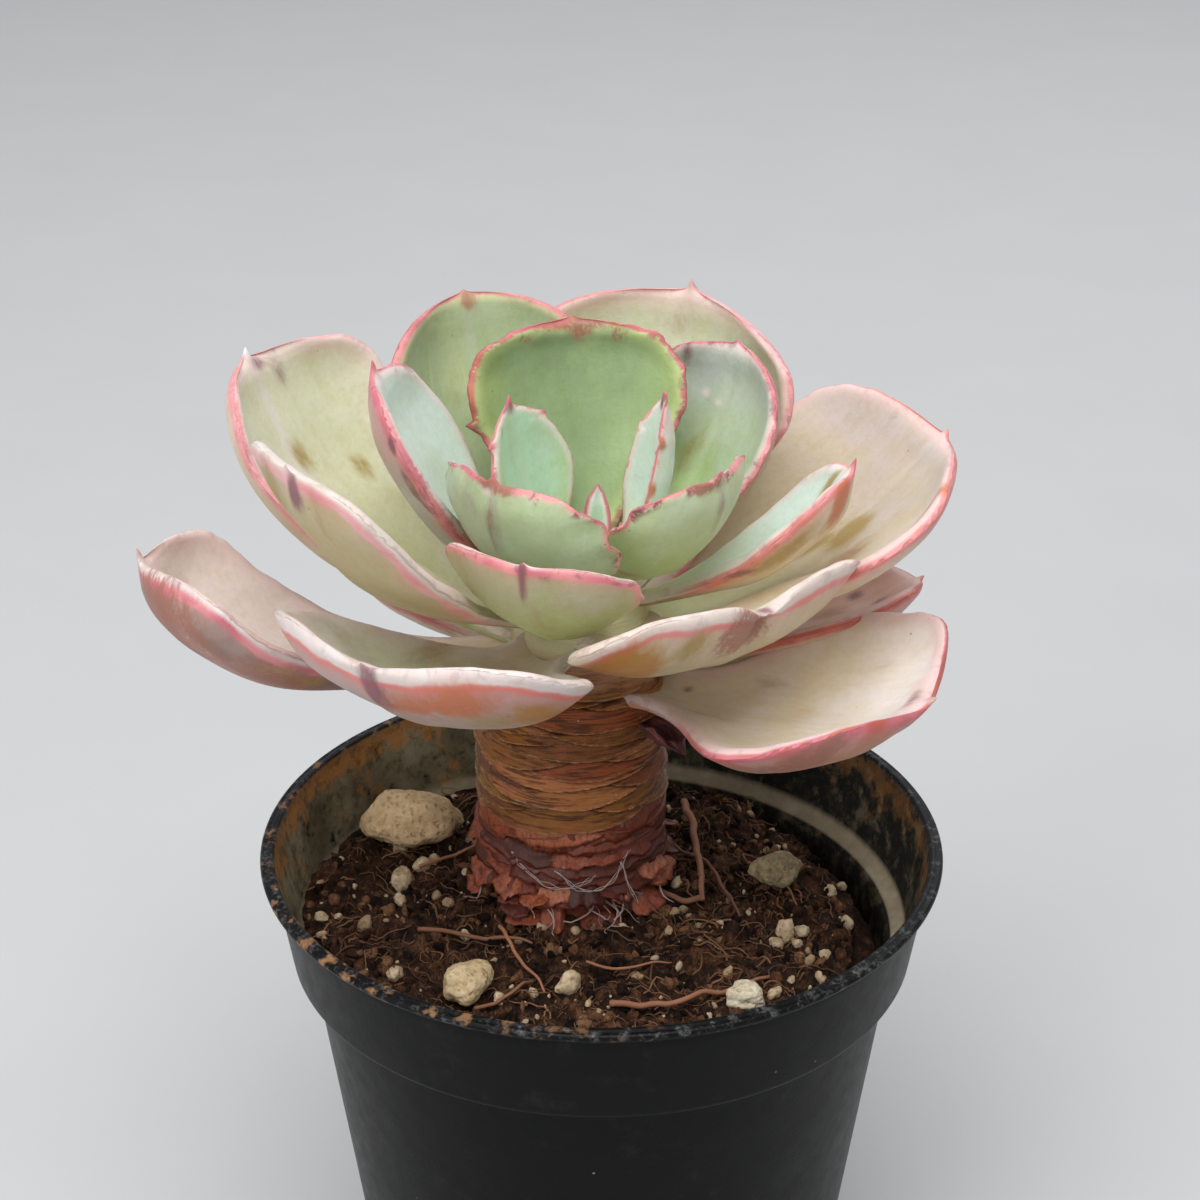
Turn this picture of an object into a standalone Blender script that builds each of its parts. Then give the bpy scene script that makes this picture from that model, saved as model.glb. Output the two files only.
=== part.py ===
# Potted echeveria: a plant pot filled with soil, a thick bare stem standing
# in it, and a rosette of fleshy cupped leaves round the top of the stem.
# Lengths in the tables are millimetres and angles degrees.
# Azimuth 0 is +X (right), 90 is +Y (away), 180 is left, 270 is the front.

import math

import bmesh
import bpy
import numpy as np

MM = 0.001
GAP = 0.3

# Pot: a tapered body, a step out to a wider collar, and a rounded lip.
POT_HEIGHT = 75.0
POT_BASE_RADIUS = 31.1
POT_TAPER = 0.133
POT_WALL = 0.9
POT_FLOOR = 2.0
POT_EDGE = 0.8
STEP_HEIGHT = 60.0
COLLAR_FOOT_RADIUS = 41.5
COLLAR_TOP_RADIUS = 43.3
COLLAR_INSIDE = 1.0
LEDGE_HEIGHT = 62.6
LIP_RADIUS = 45.0
LIP_INSIDE_RADIUS = 43.2
LIP_HEIGHT = 2.1
DRAIN_COUNT = 6
DRAIN_RADIUS = 3.0
DRAIN_CIRCLE = 20.0
DRAIN_SIDES = 12
DRAIN_TURN = 0.61
TURN_STEPS = 40

# Soil: high on the left, shrunk from the wall on the right.
SOIL_TOP = 65.4
SOIL_EDGE_LOW = 62.6
SOIL_EDGE_RISE = 2.3
SOIL_EDGE_RADIUS = 33.4
SOIL_EDGE_SPREAD = 5.6
SOIL_SHOULDER_HEIGHT = 60.5
SOIL_SHOULDER_RADIUS = 34.6
SOIL_SHOULDER_SPREAD = 2.9
SOIL_FULL_AZIMUTH = 195.0
SOIL_RINGS = (8.0, 14.0, 20.0, 26.0, 31.0)
SOIL_BUMP = 0.45

# Stem
STEM_FOOT = 38.0
STEM_RADIUS = 12.2
STEM_STEPS = 28
STEM_AXIS_X = -4.0
STEM_AXIS_Y = 5.0
LEAN_START = 92.0
LEAN_END = 117.0
LEAN_LENGTH = 4.0
SCAR_COUNT = 9
SCAR_DEPTH = 0.45
SCAR_SAG = 0.5
SCAR_LOW = 66.0
SCAR_HIGH = 94.4
# The crown tapers inside the leaves: heights and radii, tip last.
CROWN = ((95.0, 12.2), (98.5, 8.5), (103.0, 7.6), (107.0, 6.0), (110.0, 3.8), (112.0, 2.1), (114.0, 0.9))

# Every leaf: az = azimuth, z0 = height of its root, r0 = root's distance from
# the stem's axis, L = length, W = width, phi0 and phi1 = climb at the root and
# at the tip, p = how late the climb comes, cup0 and cup1 = half angle of the
# cross arc, base = root width over W, wide = where it is widest, blunt = how
# square the end is, left and right = share of each half width.
LEAF_DEFAULTS = dict(
    r0=9.0, p=1.3, cup0=50, cup1=45, base=0.35, wide=0.62, blunt=2.2, roll=0,
    bend=0, thick=3.4, edge=0.9, mucro=2.0, left=1.0, right=1.0, wave=0.0,
    waves=5, teeth=0, tooth=0.0, rows=12, cols=6)

LEAVES = {
    "leaf_outer_01": dict(az=189, z0=99.7, r0=12.6, L=49.5, W=32, phi0=-5, phi1=77, p=1.8,
                          cup0=40, cup1=63, roll=3, base=0.28, wide=0.78),
    "leaf_outer_02": dict(az=237, z0=101.5, r0=8.8, L=41.2, W=44, phi0=-1, phi1=54, cup0=50,
                          cup1=32, roll=2, base=0.26, wide=0.6, blunt=3, mucro=0.8),
    "leaf_outer_03": dict(az=335, z0=95, r0=12.6, L=39.5, W=44, phi0=-8, phi1=36, cup0=36,
                          cup1=52, base=0.3, wide=0.5, blunt=3.6, bend=-8),
    "leaf_outer_04": dict(az=307, z0=103.5, r0=8.2, L=34.3, W=42, phi0=12, phi1=59, cup0=18,
                          cup1=20, roll=-4, base=0.3, wide=0.57, blunt=2.8, mucro=0.8),
    "leaf_outer_05": dict(az=25, z0=97.6, r0=12.6, L=38.5, W=32, phi0=-5, phi1=25, cup0=40,
                          cup1=50, roll=-8, base=0.4, right=0.8, mucro=1.0),
    "leaf_outer_06": dict(az=15, z0=100.6, L=47, W=48, phi0=12, phi1=52, cup0=40, cup1=40,
                          roll=-6, base=0.21, wide=0.7, blunt=2.6, right=0.94, mucro=1.0),
    "leaf_outer_07": dict(az=68, z0=101, L=50, W=48, phi0=16, phi1=90, cup0=50, cup1=45,
                          roll=-10, base=0.19, wide=0.66, blunt=2.6),
    "leaf_outer_08": dict(az=115, z0=102, r0=8.4, L=46, W=37, phi0=32, phi1=84, cup0=51, cup1=50,
                          roll=0, base=0.2, wide=0.62, blunt=2.4, mucro=0.8),
    "leaf_outer_09": dict(az=160, z0=101, L=54, W=42, phi0=14, phi1=78, cup0=48, cup1=48, roll=3,
                          base=0.22, wide=0.72, blunt=2.4, left=0.88, right=0.88, mucro=1.6),
    "leaf_outer_10": dict(az=219, z0=105.3, r0=8.8, L=48.2, W=34, phi0=22, phi1=66, cup0=45,
                          cup1=28, roll=-10, base=0.22, wide=0.66, blunt=2.8, mucro=0.8),
    "leaf_outer_11": dict(az=80, z0=95, r0=12.8, L=33, W=26, phi0=-6, phi1=40, cup0=40, cup1=48,
                          base=0.34, mucro=1.0),
    "leaf_outer_12": dict(az=128, z0=95, r0=12.9, L=33, W=26, phi0=-6, phi1=40, cup0=40, cup1=48,
                          base=0.34, mucro=1.0),
    "leaf_middle_01": dict(az=180, z0=107.3, r0=7, L=37, W=24, phi0=42, phi1=76, cup0=40,
                           cup1=35, roll=-5, base=0.28, wide=0.66, blunt=2.6),
    "leaf_middle_02": dict(az=257, z0=106.9, r0=7, L=33, W=29, phi0=18, phi1=66, cup0=38,
                           cup1=46, roll=-5, base=0.3, mucro=0.8, wave=0.5, rows=14),
    "leaf_middle_03": dict(az=349, z0=106.6, r0=7, L=35, W=21, phi0=15, phi1=66, cup0=50,
                           cup1=55, base=0.26, wide=0.66, blunt=2.6),
    "leaf_middle_04": dict(az=96, z0=107, r0=6.8, L=34, W=31, phi0=50, phi1=88, cup0=50, cup1=42,
                           base=0.2, wide=0.66, blunt=3.0, mucro=0.8, wave=0.8, waves=4, teeth=6,
                           tooth=0.9, rows=20),
    "leaf_middle_05": dict(az=45, z0=106, r0=7.4, L=37, W=32, phi0=30, phi1=84, cup0=50, cup1=45,
                           base=0.22, wide=0.66, blunt=2.6, mucro=0.8),
    "leaf_inner_01": dict(az=150, z0=110, r0=6, L=22, W=14, phi0=70, phi1=78, cup0=45,
                          cup1=35, base=0.45, wide=0.55, blunt=1.8, mucro=1.0,
                          thick=2.4, teeth=5, tooth=0.8, rows=18),
    "leaf_inner_02": dict(az=20, z0=110, r0=5.4, L=24, W=10.5, phi0=74, phi1=86, cup0=60,
                          cup1=70, base=0.5, wide=0.5, blunt=1.7, mucro=1.0,
                          thick=2.2, teeth=5, tooth=0.6, rows=18),
    "leaf_inner_03": dict(az=236, z0=109, r0=5.2, L=29, W=28, phi0=28, phi1=86, cup0=48,
                          cup1=48, roll=-8, base=0.28, wide=0.6, blunt=2.4, mucro=0.8,
                          thick=2.8, wave=0.7, teeth=6, tooth=0.9, rows=20),
    "leaf_inner_04": dict(az=312, z0=109, r0=5.2, L=29, W=27, phi0=28, phi1=78, cup0=48,
                          cup1=48, roll=-8, base=0.28, wide=0.6, mucro=0.8, thick=2.8,
                          wave=0.5, teeth=6, tooth=0.8, rows=20),
    "leaf_centre_01": dict(az=205, z0=112, r0=2.7, L=9, W=6.4, phi0=66, phi1=84, cup0=55,
                           cup1=45, base=0.5, wide=0.5, blunt=1.8, mucro=0.8,
                           thick=1.4, edge=0.7, rows=8, cols=4),
    "leaf_centre_02": dict(az=85, z0=112, r0=2.7, L=10, W=6.4, phi0=70, phi1=90, cup0=55,
                           cup1=45, base=0.5, wide=0.5, blunt=1.8, mucro=0.8,
                           thick=1.4, edge=0.7, rows=8, cols=4),
    "leaf_centre_03": dict(az=325, z0=112, r0=2.7, L=8, W=6, phi0=66, phi1=84, cup0=55,
                           cup1=45, base=0.5, wide=0.5, blunt=1.8, mucro=0.8,
                           thick=1.4, edge=0.7, rows=8, cols=4),
    "leaf_dry_01": dict(az=318, z0=91, r0=13.0, L=7, W=8, phi0=-30, phi1=-84, cup0=30,
                        cup1=60, base=0.6, wide=0.5, mucro=0.6, thick=1.0,
                        edge=0.7, rows=7, cols=4),
}

# Stones that lie loose on the soil: position, three radii, turn.
STONES = {
    "stone_pumice": dict(x=-26.5, y=14.0, radii=(6.6, 4.6, 3.6), turn=10, seed=3),
    "stone_cream": dict(x=-17.0, y=-23.0, radii=(3.8, 2.9, 2.2), turn=70, seed=5),
    "stone_olive": dict(x=24.0, y=4.0, radii=(3.4, 2.8, 2.3), turn=15, seed=8),
    "stone_white": dict(x=18.0, y=-24.0, radii=(2.3, 2.0, 1.6), turn=0, seed=11),
}


def material(name, colour, roughness):
    mat = bpy.data.materials.new(name)
    mat.use_nodes = True
    shader = mat.node_tree.nodes["Principled BSDF"]
    shader.inputs["Base Color"].default_value = (*colour, 1.0)
    shader.inputs["Roughness"].default_value = roughness
    shader.inputs["Metallic"].default_value = 0.0
    return mat


def place(obj, collection, mat):
    collection.objects.link(obj)
    obj.data.materials.append(mat)
    return obj


def stem_axis(z):
    k = (z - LEAN_START) / (LEAN_END - LEAN_START)
    return STEM_AXIS_X + LEAN_LENGTH * k, STEM_AXIS_Y


def wall_inside(z):
    return POT_BASE_RADIUS + POT_TAPER * z - POT_WALL


def turned(name, profile, steps):
    # Profile points are (radius, height) in mm, down the outer side.
    mesh = bpy.data.meshes.new(name)
    points = [(r * MM, 0.0, z * MM) for r, z in profile]
    edges = [(i, i + 1) for i in range(len(points) - 1)]
    mesh.from_pydata(points, edges, [])
    obj = bpy.data.objects.new(name, mesh)
    screw = obj.modifiers.new("turn", "SCREW")
    screw.angle = 2.0 * math.pi
    screw.steps = steps
    screw.render_steps = steps
    screw.use_merge_vertices = True
    screw.merge_threshold = 0.00001
    return obj


def frozen(obj, collection):
    # Replace an object by its evaluated mesh, so that its points can be moved.
    collection.objects.link(obj)
    bpy.context.view_layer.update()
    graph = bpy.context.evaluated_depsgraph_get()
    mesh = bpy.data.meshes.new_from_object(obj.evaluated_get(graph))
    name = obj.name
    old_mesh = obj.data
    bpy.data.objects.remove(obj)
    bpy.data.meshes.remove(old_mesh)
    mesh.name = name
    return bpy.data.objects.new(name, mesh)


def cylinder_cutter(name, radius, low, high, x, y, sides, collection):
    bpy.ops.mesh.primitive_cylinder_add(
        vertices=sides, radius=radius * MM, depth=(high - low) * MM,
        location=(x * MM, y * MM, 0.5 * (high + low) * MM))
    cutter = bpy.context.object
    cutter.name = name
    for owner in list(cutter.users_collection):
        owner.objects.unlink(cutter)
    collection.objects.link(cutter)
    cutter.hide_render = True
    cutter.display_type = "WIRE"
    return cutter


def cut(obj, cutter):
    boolean = obj.modifiers.new("cut_" + cutter.name, "BOOLEAN")
    boolean.operation = "DIFFERENCE"
    boolean.solver = "EXACT"
    boolean.object = cutter


def width_share(spec, t):
    # Half width along the leaf over the full half width.
    if t < spec["wide"]:
        q = t / spec["wide"]
        share = spec["base"] + (1.0 - spec["base"]) * (0.5 - 0.5 * math.cos(math.pi * q))
    else:
        q = (t - spec["wide"]) / (1.0 - spec["wide"])
        share = max(0.0, 1.0 - q ** spec["blunt"]) ** (1.0 / spec["blunt"])
    return share


def midrib(spec, samples=200):
    # The midrib climbs from phi0 to phi1 and swings by bend, heading along +X.
    t = np.linspace(0.0, 1.0, samples)
    climb = np.radians(spec["phi0"] + (spec["phi1"] - spec["phi0"]) * t ** spec["p"])
    swing = np.radians(spec["bend"] * t)
    along = np.stack([np.cos(climb) * np.cos(swing),
                      np.cos(climb) * np.sin(swing),
                      np.sin(climb)], axis=1)
    steps = 0.5 * (along[1:] + along[:-1]) * spec["L"] / (samples - 1)
    points = np.concatenate([np.zeros((1, 3)), np.cumsum(steps, axis=0)])
    return points, along, swing


def leaf_point(spec, line, t, v):
    # A point of the leaf's middle sheet at length share t and side share v.
    points, along, swing = line
    i = int(round(min(t, 1.0) * (len(points) - 1)))
    forward = along[i]
    side = np.array([-math.sin(swing[i]), math.cos(swing[i]), 0.0])
    normal = np.cross(forward, side)
    roll = math.radians(spec["roll"])
    side, normal = (side * math.cos(roll) + normal * math.sin(roll),
                    normal * math.cos(roll) - side * math.sin(roll))
    share = width_share(spec, min(t, 1.0))
    half = max(share * spec["W"] * 0.5, 0.35)
    side_share = spec["left"] if v > 0.0 else spec["right"]
    half *= 1.0 + (side_share - 1.0) * share
    a = abs(v)
    cup = math.radians(spec["cup0"] + (spec["cup1"] - spec["cup0"]) * min(t, 1.0))
    phase = 0.9 if v > 0.0 else 0.0
    lateral = half * math.sin(cup * a) / cup
    height = half * (1.0 - math.cos(cup * a)) / cup
    fade = min(1.0, t / 0.3) * share
    ripple = math.sin(2.0 * math.pi * spec["waves"] * t + phase)
    height += spec["wave"] * ripple * a ** 3 * fade
    if spec["teeth"] and a > 0.99:
        pulse = max(0.0, math.cos(2.0 * math.pi * (spec["teeth"] * t + phase)))
        lateral += spec["tooth"] * pulse ** 4 * fade
    return points[i] + side * math.copysign(lateral, v) + normal * height


def leaf_thickness(spec, t, v):
    # Fleshy in the middle, thin at the margin and towards the tip.
    full = spec["thick"]
    if t > 0.6:
        full *= 1.0 - 0.55 * ((min(t, 1.0) - 0.6) / 0.4) ** 1.5
    full *= min(1.0, 0.25 + width_share(spec, min(t, 1.0)))
    edge = min(spec["edge"], full)
    return max(edge + (full - edge) * (1.0 - abs(v) ** 2.2), 0.6)


def leaf(name, spec, collection, mat):
    # A grid bent along the midrib, then thickened by a solidify that follows
    # the thickness of each point.
    spec = {**LEAF_DEFAULTS, **spec}
    rows = spec["rows"]
    line = midrib(spec)
    bm = bmesh.new()
    bmesh.ops.create_grid(bm, x_segments=rows, y_segments=spec["cols"], size=1.0)
    layer = bm.verts.layers.deform.verify()
    tip = line[0][-1] + line[1][-1] * spec["mucro"]
    for vert in bm.verts:
        k = 0.5 * (vert.co.x + 1.0)
        v = vert.co.y
        if k > 0.999:
            # The last row closes on the little spine at the tip.
            centre = tip
            side = leaf_point(spec, line, 1.0, 1.0) - leaf_point(spec, line, 1.0, -1.0)
            where = centre + side * v * 0.5
            full = 0.6
        else:
            t = k / (1.0 - 1.0 / rows)
            t = 0.4 * t + 0.6 * math.sin(0.5 * math.pi * min(t, 1.0)) ** 0.9
            where = leaf_point(spec, line, t, v)
            full = leaf_thickness(spec, t, v)
        vert.co = where * MM
        vert[layer][0] = full / spec["thick"]
    bmesh.ops.triangulate(bm, faces=bm.faces[:])
    mesh = bpy.data.meshes.new(name)
    bm.to_mesh(mesh)
    bm.free()
    mesh.shade_smooth()
    obj = bpy.data.objects.new(name, mesh)
    obj.vertex_groups.new(name="thickness")
    solid = obj.modifiers.new("flesh", "SOLIDIFY")
    solid.thickness = spec["thick"] * MM
    solid.offset = -0.5
    solid.vertex_group = "thickness"
    solid.use_rim = True
    azimuth = math.radians(spec["az"])
    x, y = stem_axis(spec["z0"])
    obj.location = ((x + spec["r0"] * math.cos(azimuth)) * MM,
                    (y + spec["r0"] * math.sin(azimuth)) * MM,
                    spec["z0"] * MM)
    obj.rotation_euler = (0.0, 0.0, azimuth)
    return place(obj, collection, mat)


def make_pot(collection, cutters, mat):
    top = POT_HEIGHT
    lip_foot = POT_HEIGHT - LIP_HEIGHT
    outside_step = wall_inside(STEP_HEIGHT) + POT_WALL
    profile = [
        (0.0, POT_FLOOR),
        (wall_inside(POT_FLOOR) - POT_EDGE, POT_FLOOR),
        (wall_inside(POT_FLOOR + POT_EDGE), POT_FLOOR + POT_EDGE),
        (wall_inside(STEP_HEIGHT), STEP_HEIGHT),
        (wall_inside(LEDGE_HEIGHT - POT_EDGE), LEDGE_HEIGHT - POT_EDGE),
        (COLLAR_FOOT_RADIUS - COLLAR_INSIDE, LEDGE_HEIGHT),
        (COLLAR_TOP_RADIUS - COLLAR_INSIDE, lip_foot),
        (LIP_INSIDE_RADIUS, top - 0.2 * LIP_HEIGHT),
        (0.5 * (LIP_INSIDE_RADIUS + LIP_RADIUS), top),
        (LIP_RADIUS - 0.2, top - 0.2 * LIP_HEIGHT),
        (LIP_RADIUS, top - 0.5 * LIP_HEIGHT),
        (LIP_RADIUS - 0.4, top - 0.85 * LIP_HEIGHT),
        (COLLAR_TOP_RADIUS, lip_foot),
        (COLLAR_FOOT_RADIUS, STEP_HEIGHT + 1.0),
        (COLLAR_FOOT_RADIUS - 0.6, STEP_HEIGHT),
        (outside_step, STEP_HEIGHT - 0.5),
        (POT_BASE_RADIUS + 0.1, POT_EDGE),
        (POT_BASE_RADIUS - POT_EDGE, 0.0),
        (0.0, 0.0),
    ]
    pot = place(turned("pot", profile, TURN_STEPS), collection, mat)
    for i in range(DRAIN_COUNT):
        angle = 2.0 * math.pi * (i + DRAIN_TURN) / DRAIN_COUNT
        cut(pot, cylinder_cutter(
            "drain_cutter_%d" % (i + 1), DRAIN_RADIUS, -POT_FLOOR, 2.0 * POT_FLOOR,
            DRAIN_CIRCLE * math.cos(angle), DRAIN_CIRCLE * math.sin(angle),
            DRAIN_SIDES, cutters))
    return pot


def soil_fullness(azimuth):
    # 1 where the soil lies against the collar, 0 where it has shrunk away.
    return 0.5 + 0.5 * math.cos(azimuth - math.radians(SOIL_FULL_AZIMUTH))


def soil_height(x, y):
    r = math.hypot(x, y)
    full = soil_fullness(math.atan2(y, x))
    slope = 1.3 * (r / 30.0) ** 2 * (1.0 - full)
    bumps = SOIL_BUMP * math.sin(0.55 * x + 1.0) * math.sin(0.47 * y + 0.4)
    return SOIL_TOP - slope + bumps


def soil_point(x, y, z, edge_z):
    # Move a point of the turned soil to its place on the uneven surface.
    r = math.hypot(x, y)
    full = soil_fullness(math.atan2(y, x))
    if z < SOIL_SHOULDER_HEIGHT + 0.1:
        r_new = SOIL_SHOULDER_RADIUS + SOIL_SHOULDER_SPREAD * min(1.0, 1.4 * full)
        z_new = z
    elif z < edge_z + 0.1:
        r_new = SOIL_EDGE_RADIUS + SOIL_EDGE_SPREAD * full
        z_new = SOIL_EDGE_LOW + SOIL_EDGE_RISE * full
    else:
        r_new = r * (0.93 + 0.10 * full)
        z_new = soil_height(x, y)
    if r > 1.0:
        x *= r_new / r
        y *= r_new / r
    return x * MM, y * MM, z_new * MM


def make_soil(collection, cutters, mat):
    bottom = POT_FLOOR + GAP
    edge_z = SOIL_TOP - 1.4
    profile = [(0.0, SOIL_TOP)] + [(r, SOIL_TOP) for r in SOIL_RINGS]
    profile += [
        (36.0, edge_z),
        (37.5, SOIL_SHOULDER_HEIGHT),
        (wall_inside(55.0) - GAP, 55.0),
        (wall_inside(bottom + 2.0) - 0.4, bottom + 2.0),
        (wall_inside(bottom) - 2.2, bottom),
        (0.0, bottom),
    ]
    soil = frozen(turned("soil", profile, TURN_STEPS), collection)
    for vert in soil.data.vertices:
        x, y, z = (c / MM for c in vert.co)
        if z > SOIL_SHOULDER_HEIGHT - 0.1:
            vert.co = soil_point(x, y, z, edge_z)
    place(soil, collection, mat)
    cut(soil, cylinder_cutter("stem_hole_cutter", STEM_RADIUS + GAP + 0.1,
                              STEM_FOOT - GAP, POT_HEIGHT, STEM_AXIS_X, STEM_AXIS_Y,
                              STEM_STEPS, cutters))
    return soil


def make_stem(collection, mat):
    # Sagging leaf scars ring the bare stem between the soil and the crown.
    rings = 2 * SCAR_COUNT
    ring_step = (SCAR_HIGH - SCAR_LOW) / (rings - 1)
    tip_height, tip_radius = CROWN[-1]
    profile = [(0.0, tip_height + 0.5 * tip_radius)]
    profile += [(radius, height) for height, radius in reversed(CROWN)]
    profile += [(STEM_RADIUS, SCAR_HIGH - ring_step * i) for i in range(rings)]
    profile += [(STEM_RADIUS, 58.0), (STEM_RADIUS, 48.0), (STEM_RADIUS, STEM_FOOT + 1.2)]
    profile += [(STEM_RADIUS - 1.2, STEM_FOOT), (0.0, STEM_FOOT)]
    stem = frozen(turned("stem", profile, STEM_STEPS), collection)
    for vert in stem.data.vertices:
        x, y, z = (c / MM for c in vert.co)
        r = math.hypot(x, y)
        azimuth = math.atan2(y, x)
        if SCAR_LOW - 0.1 < z < SCAR_HIGH + 0.1 and r > 1.0:
            index = round((SCAR_HIGH - z) / ring_step)
            depth = 0.0 if index % 2 == 0 else -2.0 * SCAR_DEPTH
            scale = (r + depth + 0.25 * math.sin(3.0 * azimuth + 0.7 * index)) / r
            x *= scale
            y *= scale
            z += SCAR_SAG * math.sin(2.0 * azimuth + 0.4 * index)
        axis_x, axis_y = stem_axis(max(z, LEAN_START))
        vert.co = ((x + axis_x) * MM, (y + axis_y) * MM, z * MM)
    stem.data.shade_smooth()
    return place(stem, collection, mat)


def make_stone(name, spec, collection, mat):
    # A rounded lump with shallow flats, resting just clear of the soil.
    bm = bmesh.new()
    bmesh.ops.create_icosphere(bm, subdivisions=2, radius=1.0)
    seed = spec["seed"]
    for vert in bm.verts:
        c = vert.co.copy()
        dent = 1.0 + 0.10 * math.sin(3.1 * c.x + seed) * math.sin(2.7 * c.y + 2.0 * seed)
        dent += 0.06 * math.sin(5.3 * c.z + seed)
        c.z = max(c.z, -0.6)
        vert.co = [c[i] * dent * spec["radii"][i] * MM for i in range(3)]
    mesh = bpy.data.meshes.new(name)
    bm.to_mesh(mesh)
    bm.free()
    mesh.shade_smooth()
    obj = bpy.data.objects.new(name, mesh)
    reach = max(spec["radii"][:2])
    ground = max(soil_height(spec["x"] + reach * a, spec["y"] + reach * b)
                 for a in (-0.6, 0.0, 0.6) for b in (-0.6, 0.0, 0.6))
    obj.location = (spec["x"] * MM, spec["y"] * MM,
                    (ground + GAP + 0.6 * spec["radii"][2] * 1.1) * MM)
    obj.rotation_euler = (0.0, 0.0, math.radians(spec["turn"]))
    return place(obj, collection, mat)


def main():
    for obj in list(bpy.data.objects):
        bpy.data.objects.remove(obj)
    parts = bpy.data.collections.new("potted_echeveria")
    cutters = bpy.data.collections.new("cutters")
    bpy.context.scene.collection.children.link(parts)
    bpy.context.scene.collection.children.link(cutters)

    make_pot(parts, cutters, material("pot_black", (0.012, 0.012, 0.013), 0.42))
    make_soil(parts, cutters, material("soil_brown", (0.055, 0.032, 0.018), 0.95))
    make_stem(parts, material("stem_brown", (0.27, 0.12, 0.06), 0.85))

    leaf_colours = {
        "leaf_outer": (0.72, 0.62, 0.50),
        "leaf_middle": (0.52, 0.60, 0.40),
        "leaf_inner": (0.40, 0.56, 0.36),
        "leaf_centre": (0.42, 0.58, 0.36),
        "leaf_dry": (0.16, 0.05, 0.04),
    }
    for name, spec in LEAVES.items():
        group = name.rsplit("_", 1)[0]
        leaf(name, spec, parts, material(name + "_skin", leaf_colours[group], 0.5))

    stone_colours = {
        "stone_pumice": (0.62, 0.55, 0.42),
        "stone_cream": (0.70, 0.60, 0.42),
        "stone_olive": (0.30, 0.27, 0.14),
        "stone_white": (0.80, 0.78, 0.72),
    }
    for name, spec in STONES.items():
        make_stone(name, spec, parts, material(name + "_surface", stone_colours[name], 0.9))


main()
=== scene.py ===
# Potted echeveria, the looks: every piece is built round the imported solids.
# Tables and shape functions are in millimetres and degrees, and MM makes
# metres of them. Azimuth 0 is +X (right), 90 is away from the camera, 180 is
# left and 270 is the front.

import math

import bmesh
import bpy
import numpy as np
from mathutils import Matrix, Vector, noise


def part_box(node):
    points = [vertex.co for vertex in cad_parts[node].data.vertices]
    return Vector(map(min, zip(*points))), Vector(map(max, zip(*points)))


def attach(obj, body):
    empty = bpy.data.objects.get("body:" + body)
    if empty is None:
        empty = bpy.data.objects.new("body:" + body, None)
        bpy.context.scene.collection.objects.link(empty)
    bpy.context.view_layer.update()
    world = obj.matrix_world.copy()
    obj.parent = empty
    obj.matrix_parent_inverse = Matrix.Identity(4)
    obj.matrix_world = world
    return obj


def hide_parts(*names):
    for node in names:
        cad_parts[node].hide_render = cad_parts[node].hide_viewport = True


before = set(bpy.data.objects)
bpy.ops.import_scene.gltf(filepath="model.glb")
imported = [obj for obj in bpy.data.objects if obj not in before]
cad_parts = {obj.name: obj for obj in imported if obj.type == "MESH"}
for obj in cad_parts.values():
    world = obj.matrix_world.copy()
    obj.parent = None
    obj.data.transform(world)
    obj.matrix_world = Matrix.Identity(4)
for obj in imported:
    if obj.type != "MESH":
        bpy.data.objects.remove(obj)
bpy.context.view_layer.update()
MM = 0.001
BODY = "root"

# The photograph's camera: where it stands, how far it looks down, its lens.
CAMERA_PLACE = (-0.2, -285.0, 247.3)
CAMERA_DOWN = 25.79
CAMERA_LENS = 75.0
CAMERA_SENSOR = 36.0

# Pot
POT_HEIGHT = 75.0
POT_BASE_RADIUS = 31.1
POT_TAPER = 0.133
POT_WALL = 0.9
POT_FLOOR = 2.0
STEP_HEIGHT = 60.0
LEDGE_HEIGHT = 62.6
COLLAR_FOOT_RADIUS = 41.5
COLLAR_TOP_RADIUS = 43.3
COLLAR_INSIDE = 1.0
LIP_RADIUS = 45.0
LIP_INSIDE_RADIUS = 43.2
DRAIN_COUNT = 6
DRAIN_RADIUS = 3.0
DRAIN_CIRCLE = 20.0
DRAIN_TURN = 0.61
POT_STEPS = 240

# Soil
SOIL_TOP = 65.4
SOIL_EDGE_RADIUS = 33.8
SOIL_EDGE_SPREAD = 6.4
SOIL_FULL_AZIMUTH = 195.0
SOIL_FOOT = 56.0
FIBRE_COUNT = 850
ROOTLET_COUNT = 46

# Stem
STEM_RADIUS = 12.2
STEM_AXIS_X = -4.0
STEM_AXIS_Y = 5.0
LEAN_START = 92.0
LEAN_END = 117.0
LEAN_LENGTH = 4.0
STEM_LOW = 60.0
STEM_HIGH = 113.6
SCAR_COUNT = 54
SCAR_LOW = 74.0
SCAR_HIGH = 101.0
SCAR_EDGE = 0.11
GOLDEN_ANGLE = 137.5
# Heights and radii of the crown, filled out by the roots of the leaves.
CROWN = ((95.0, 12.2), (98.0, 11.4), (101.0, 10.2), (104.0, 9.0), (107.0, 7.4), (110.0, 5.0),
         (112.0, 3.0), (113.6, 1.2))

# Leaves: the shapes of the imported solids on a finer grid, some of them a
# little nearer to the plant. az = azimuth, z0 = height of the root, r0 = its
# distance from the stem's axis, L = length, W = width, phi0 and phi1 = climb
# at root and tip, p = how late the climb comes, cup0 and cup1 = half angle of
# the cross arc, base = root width over W, wide = where it is widest, blunt =
# how square the end is, left and right = share of each half width, barbs =
# single teeth as place along the leaf, side and size, notch = how far the tip
# is drawn in.
LEAF_DEFAULTS = dict(
    r0=9.0, p=1.3, cup0=50, cup1=45, base=0.35, wide=0.62, blunt=2.2, roll=0,
    bend=0, thick=3.8, edge=1.6, mucro=2.0, left=1.0, right=1.0, wave=0.0,
    waves=5, teeth=0, tooth=0.0, barbs=(), notch=0.0, ragged=0.12, crumple=0.0,
    rows=84, cols=40)

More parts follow.
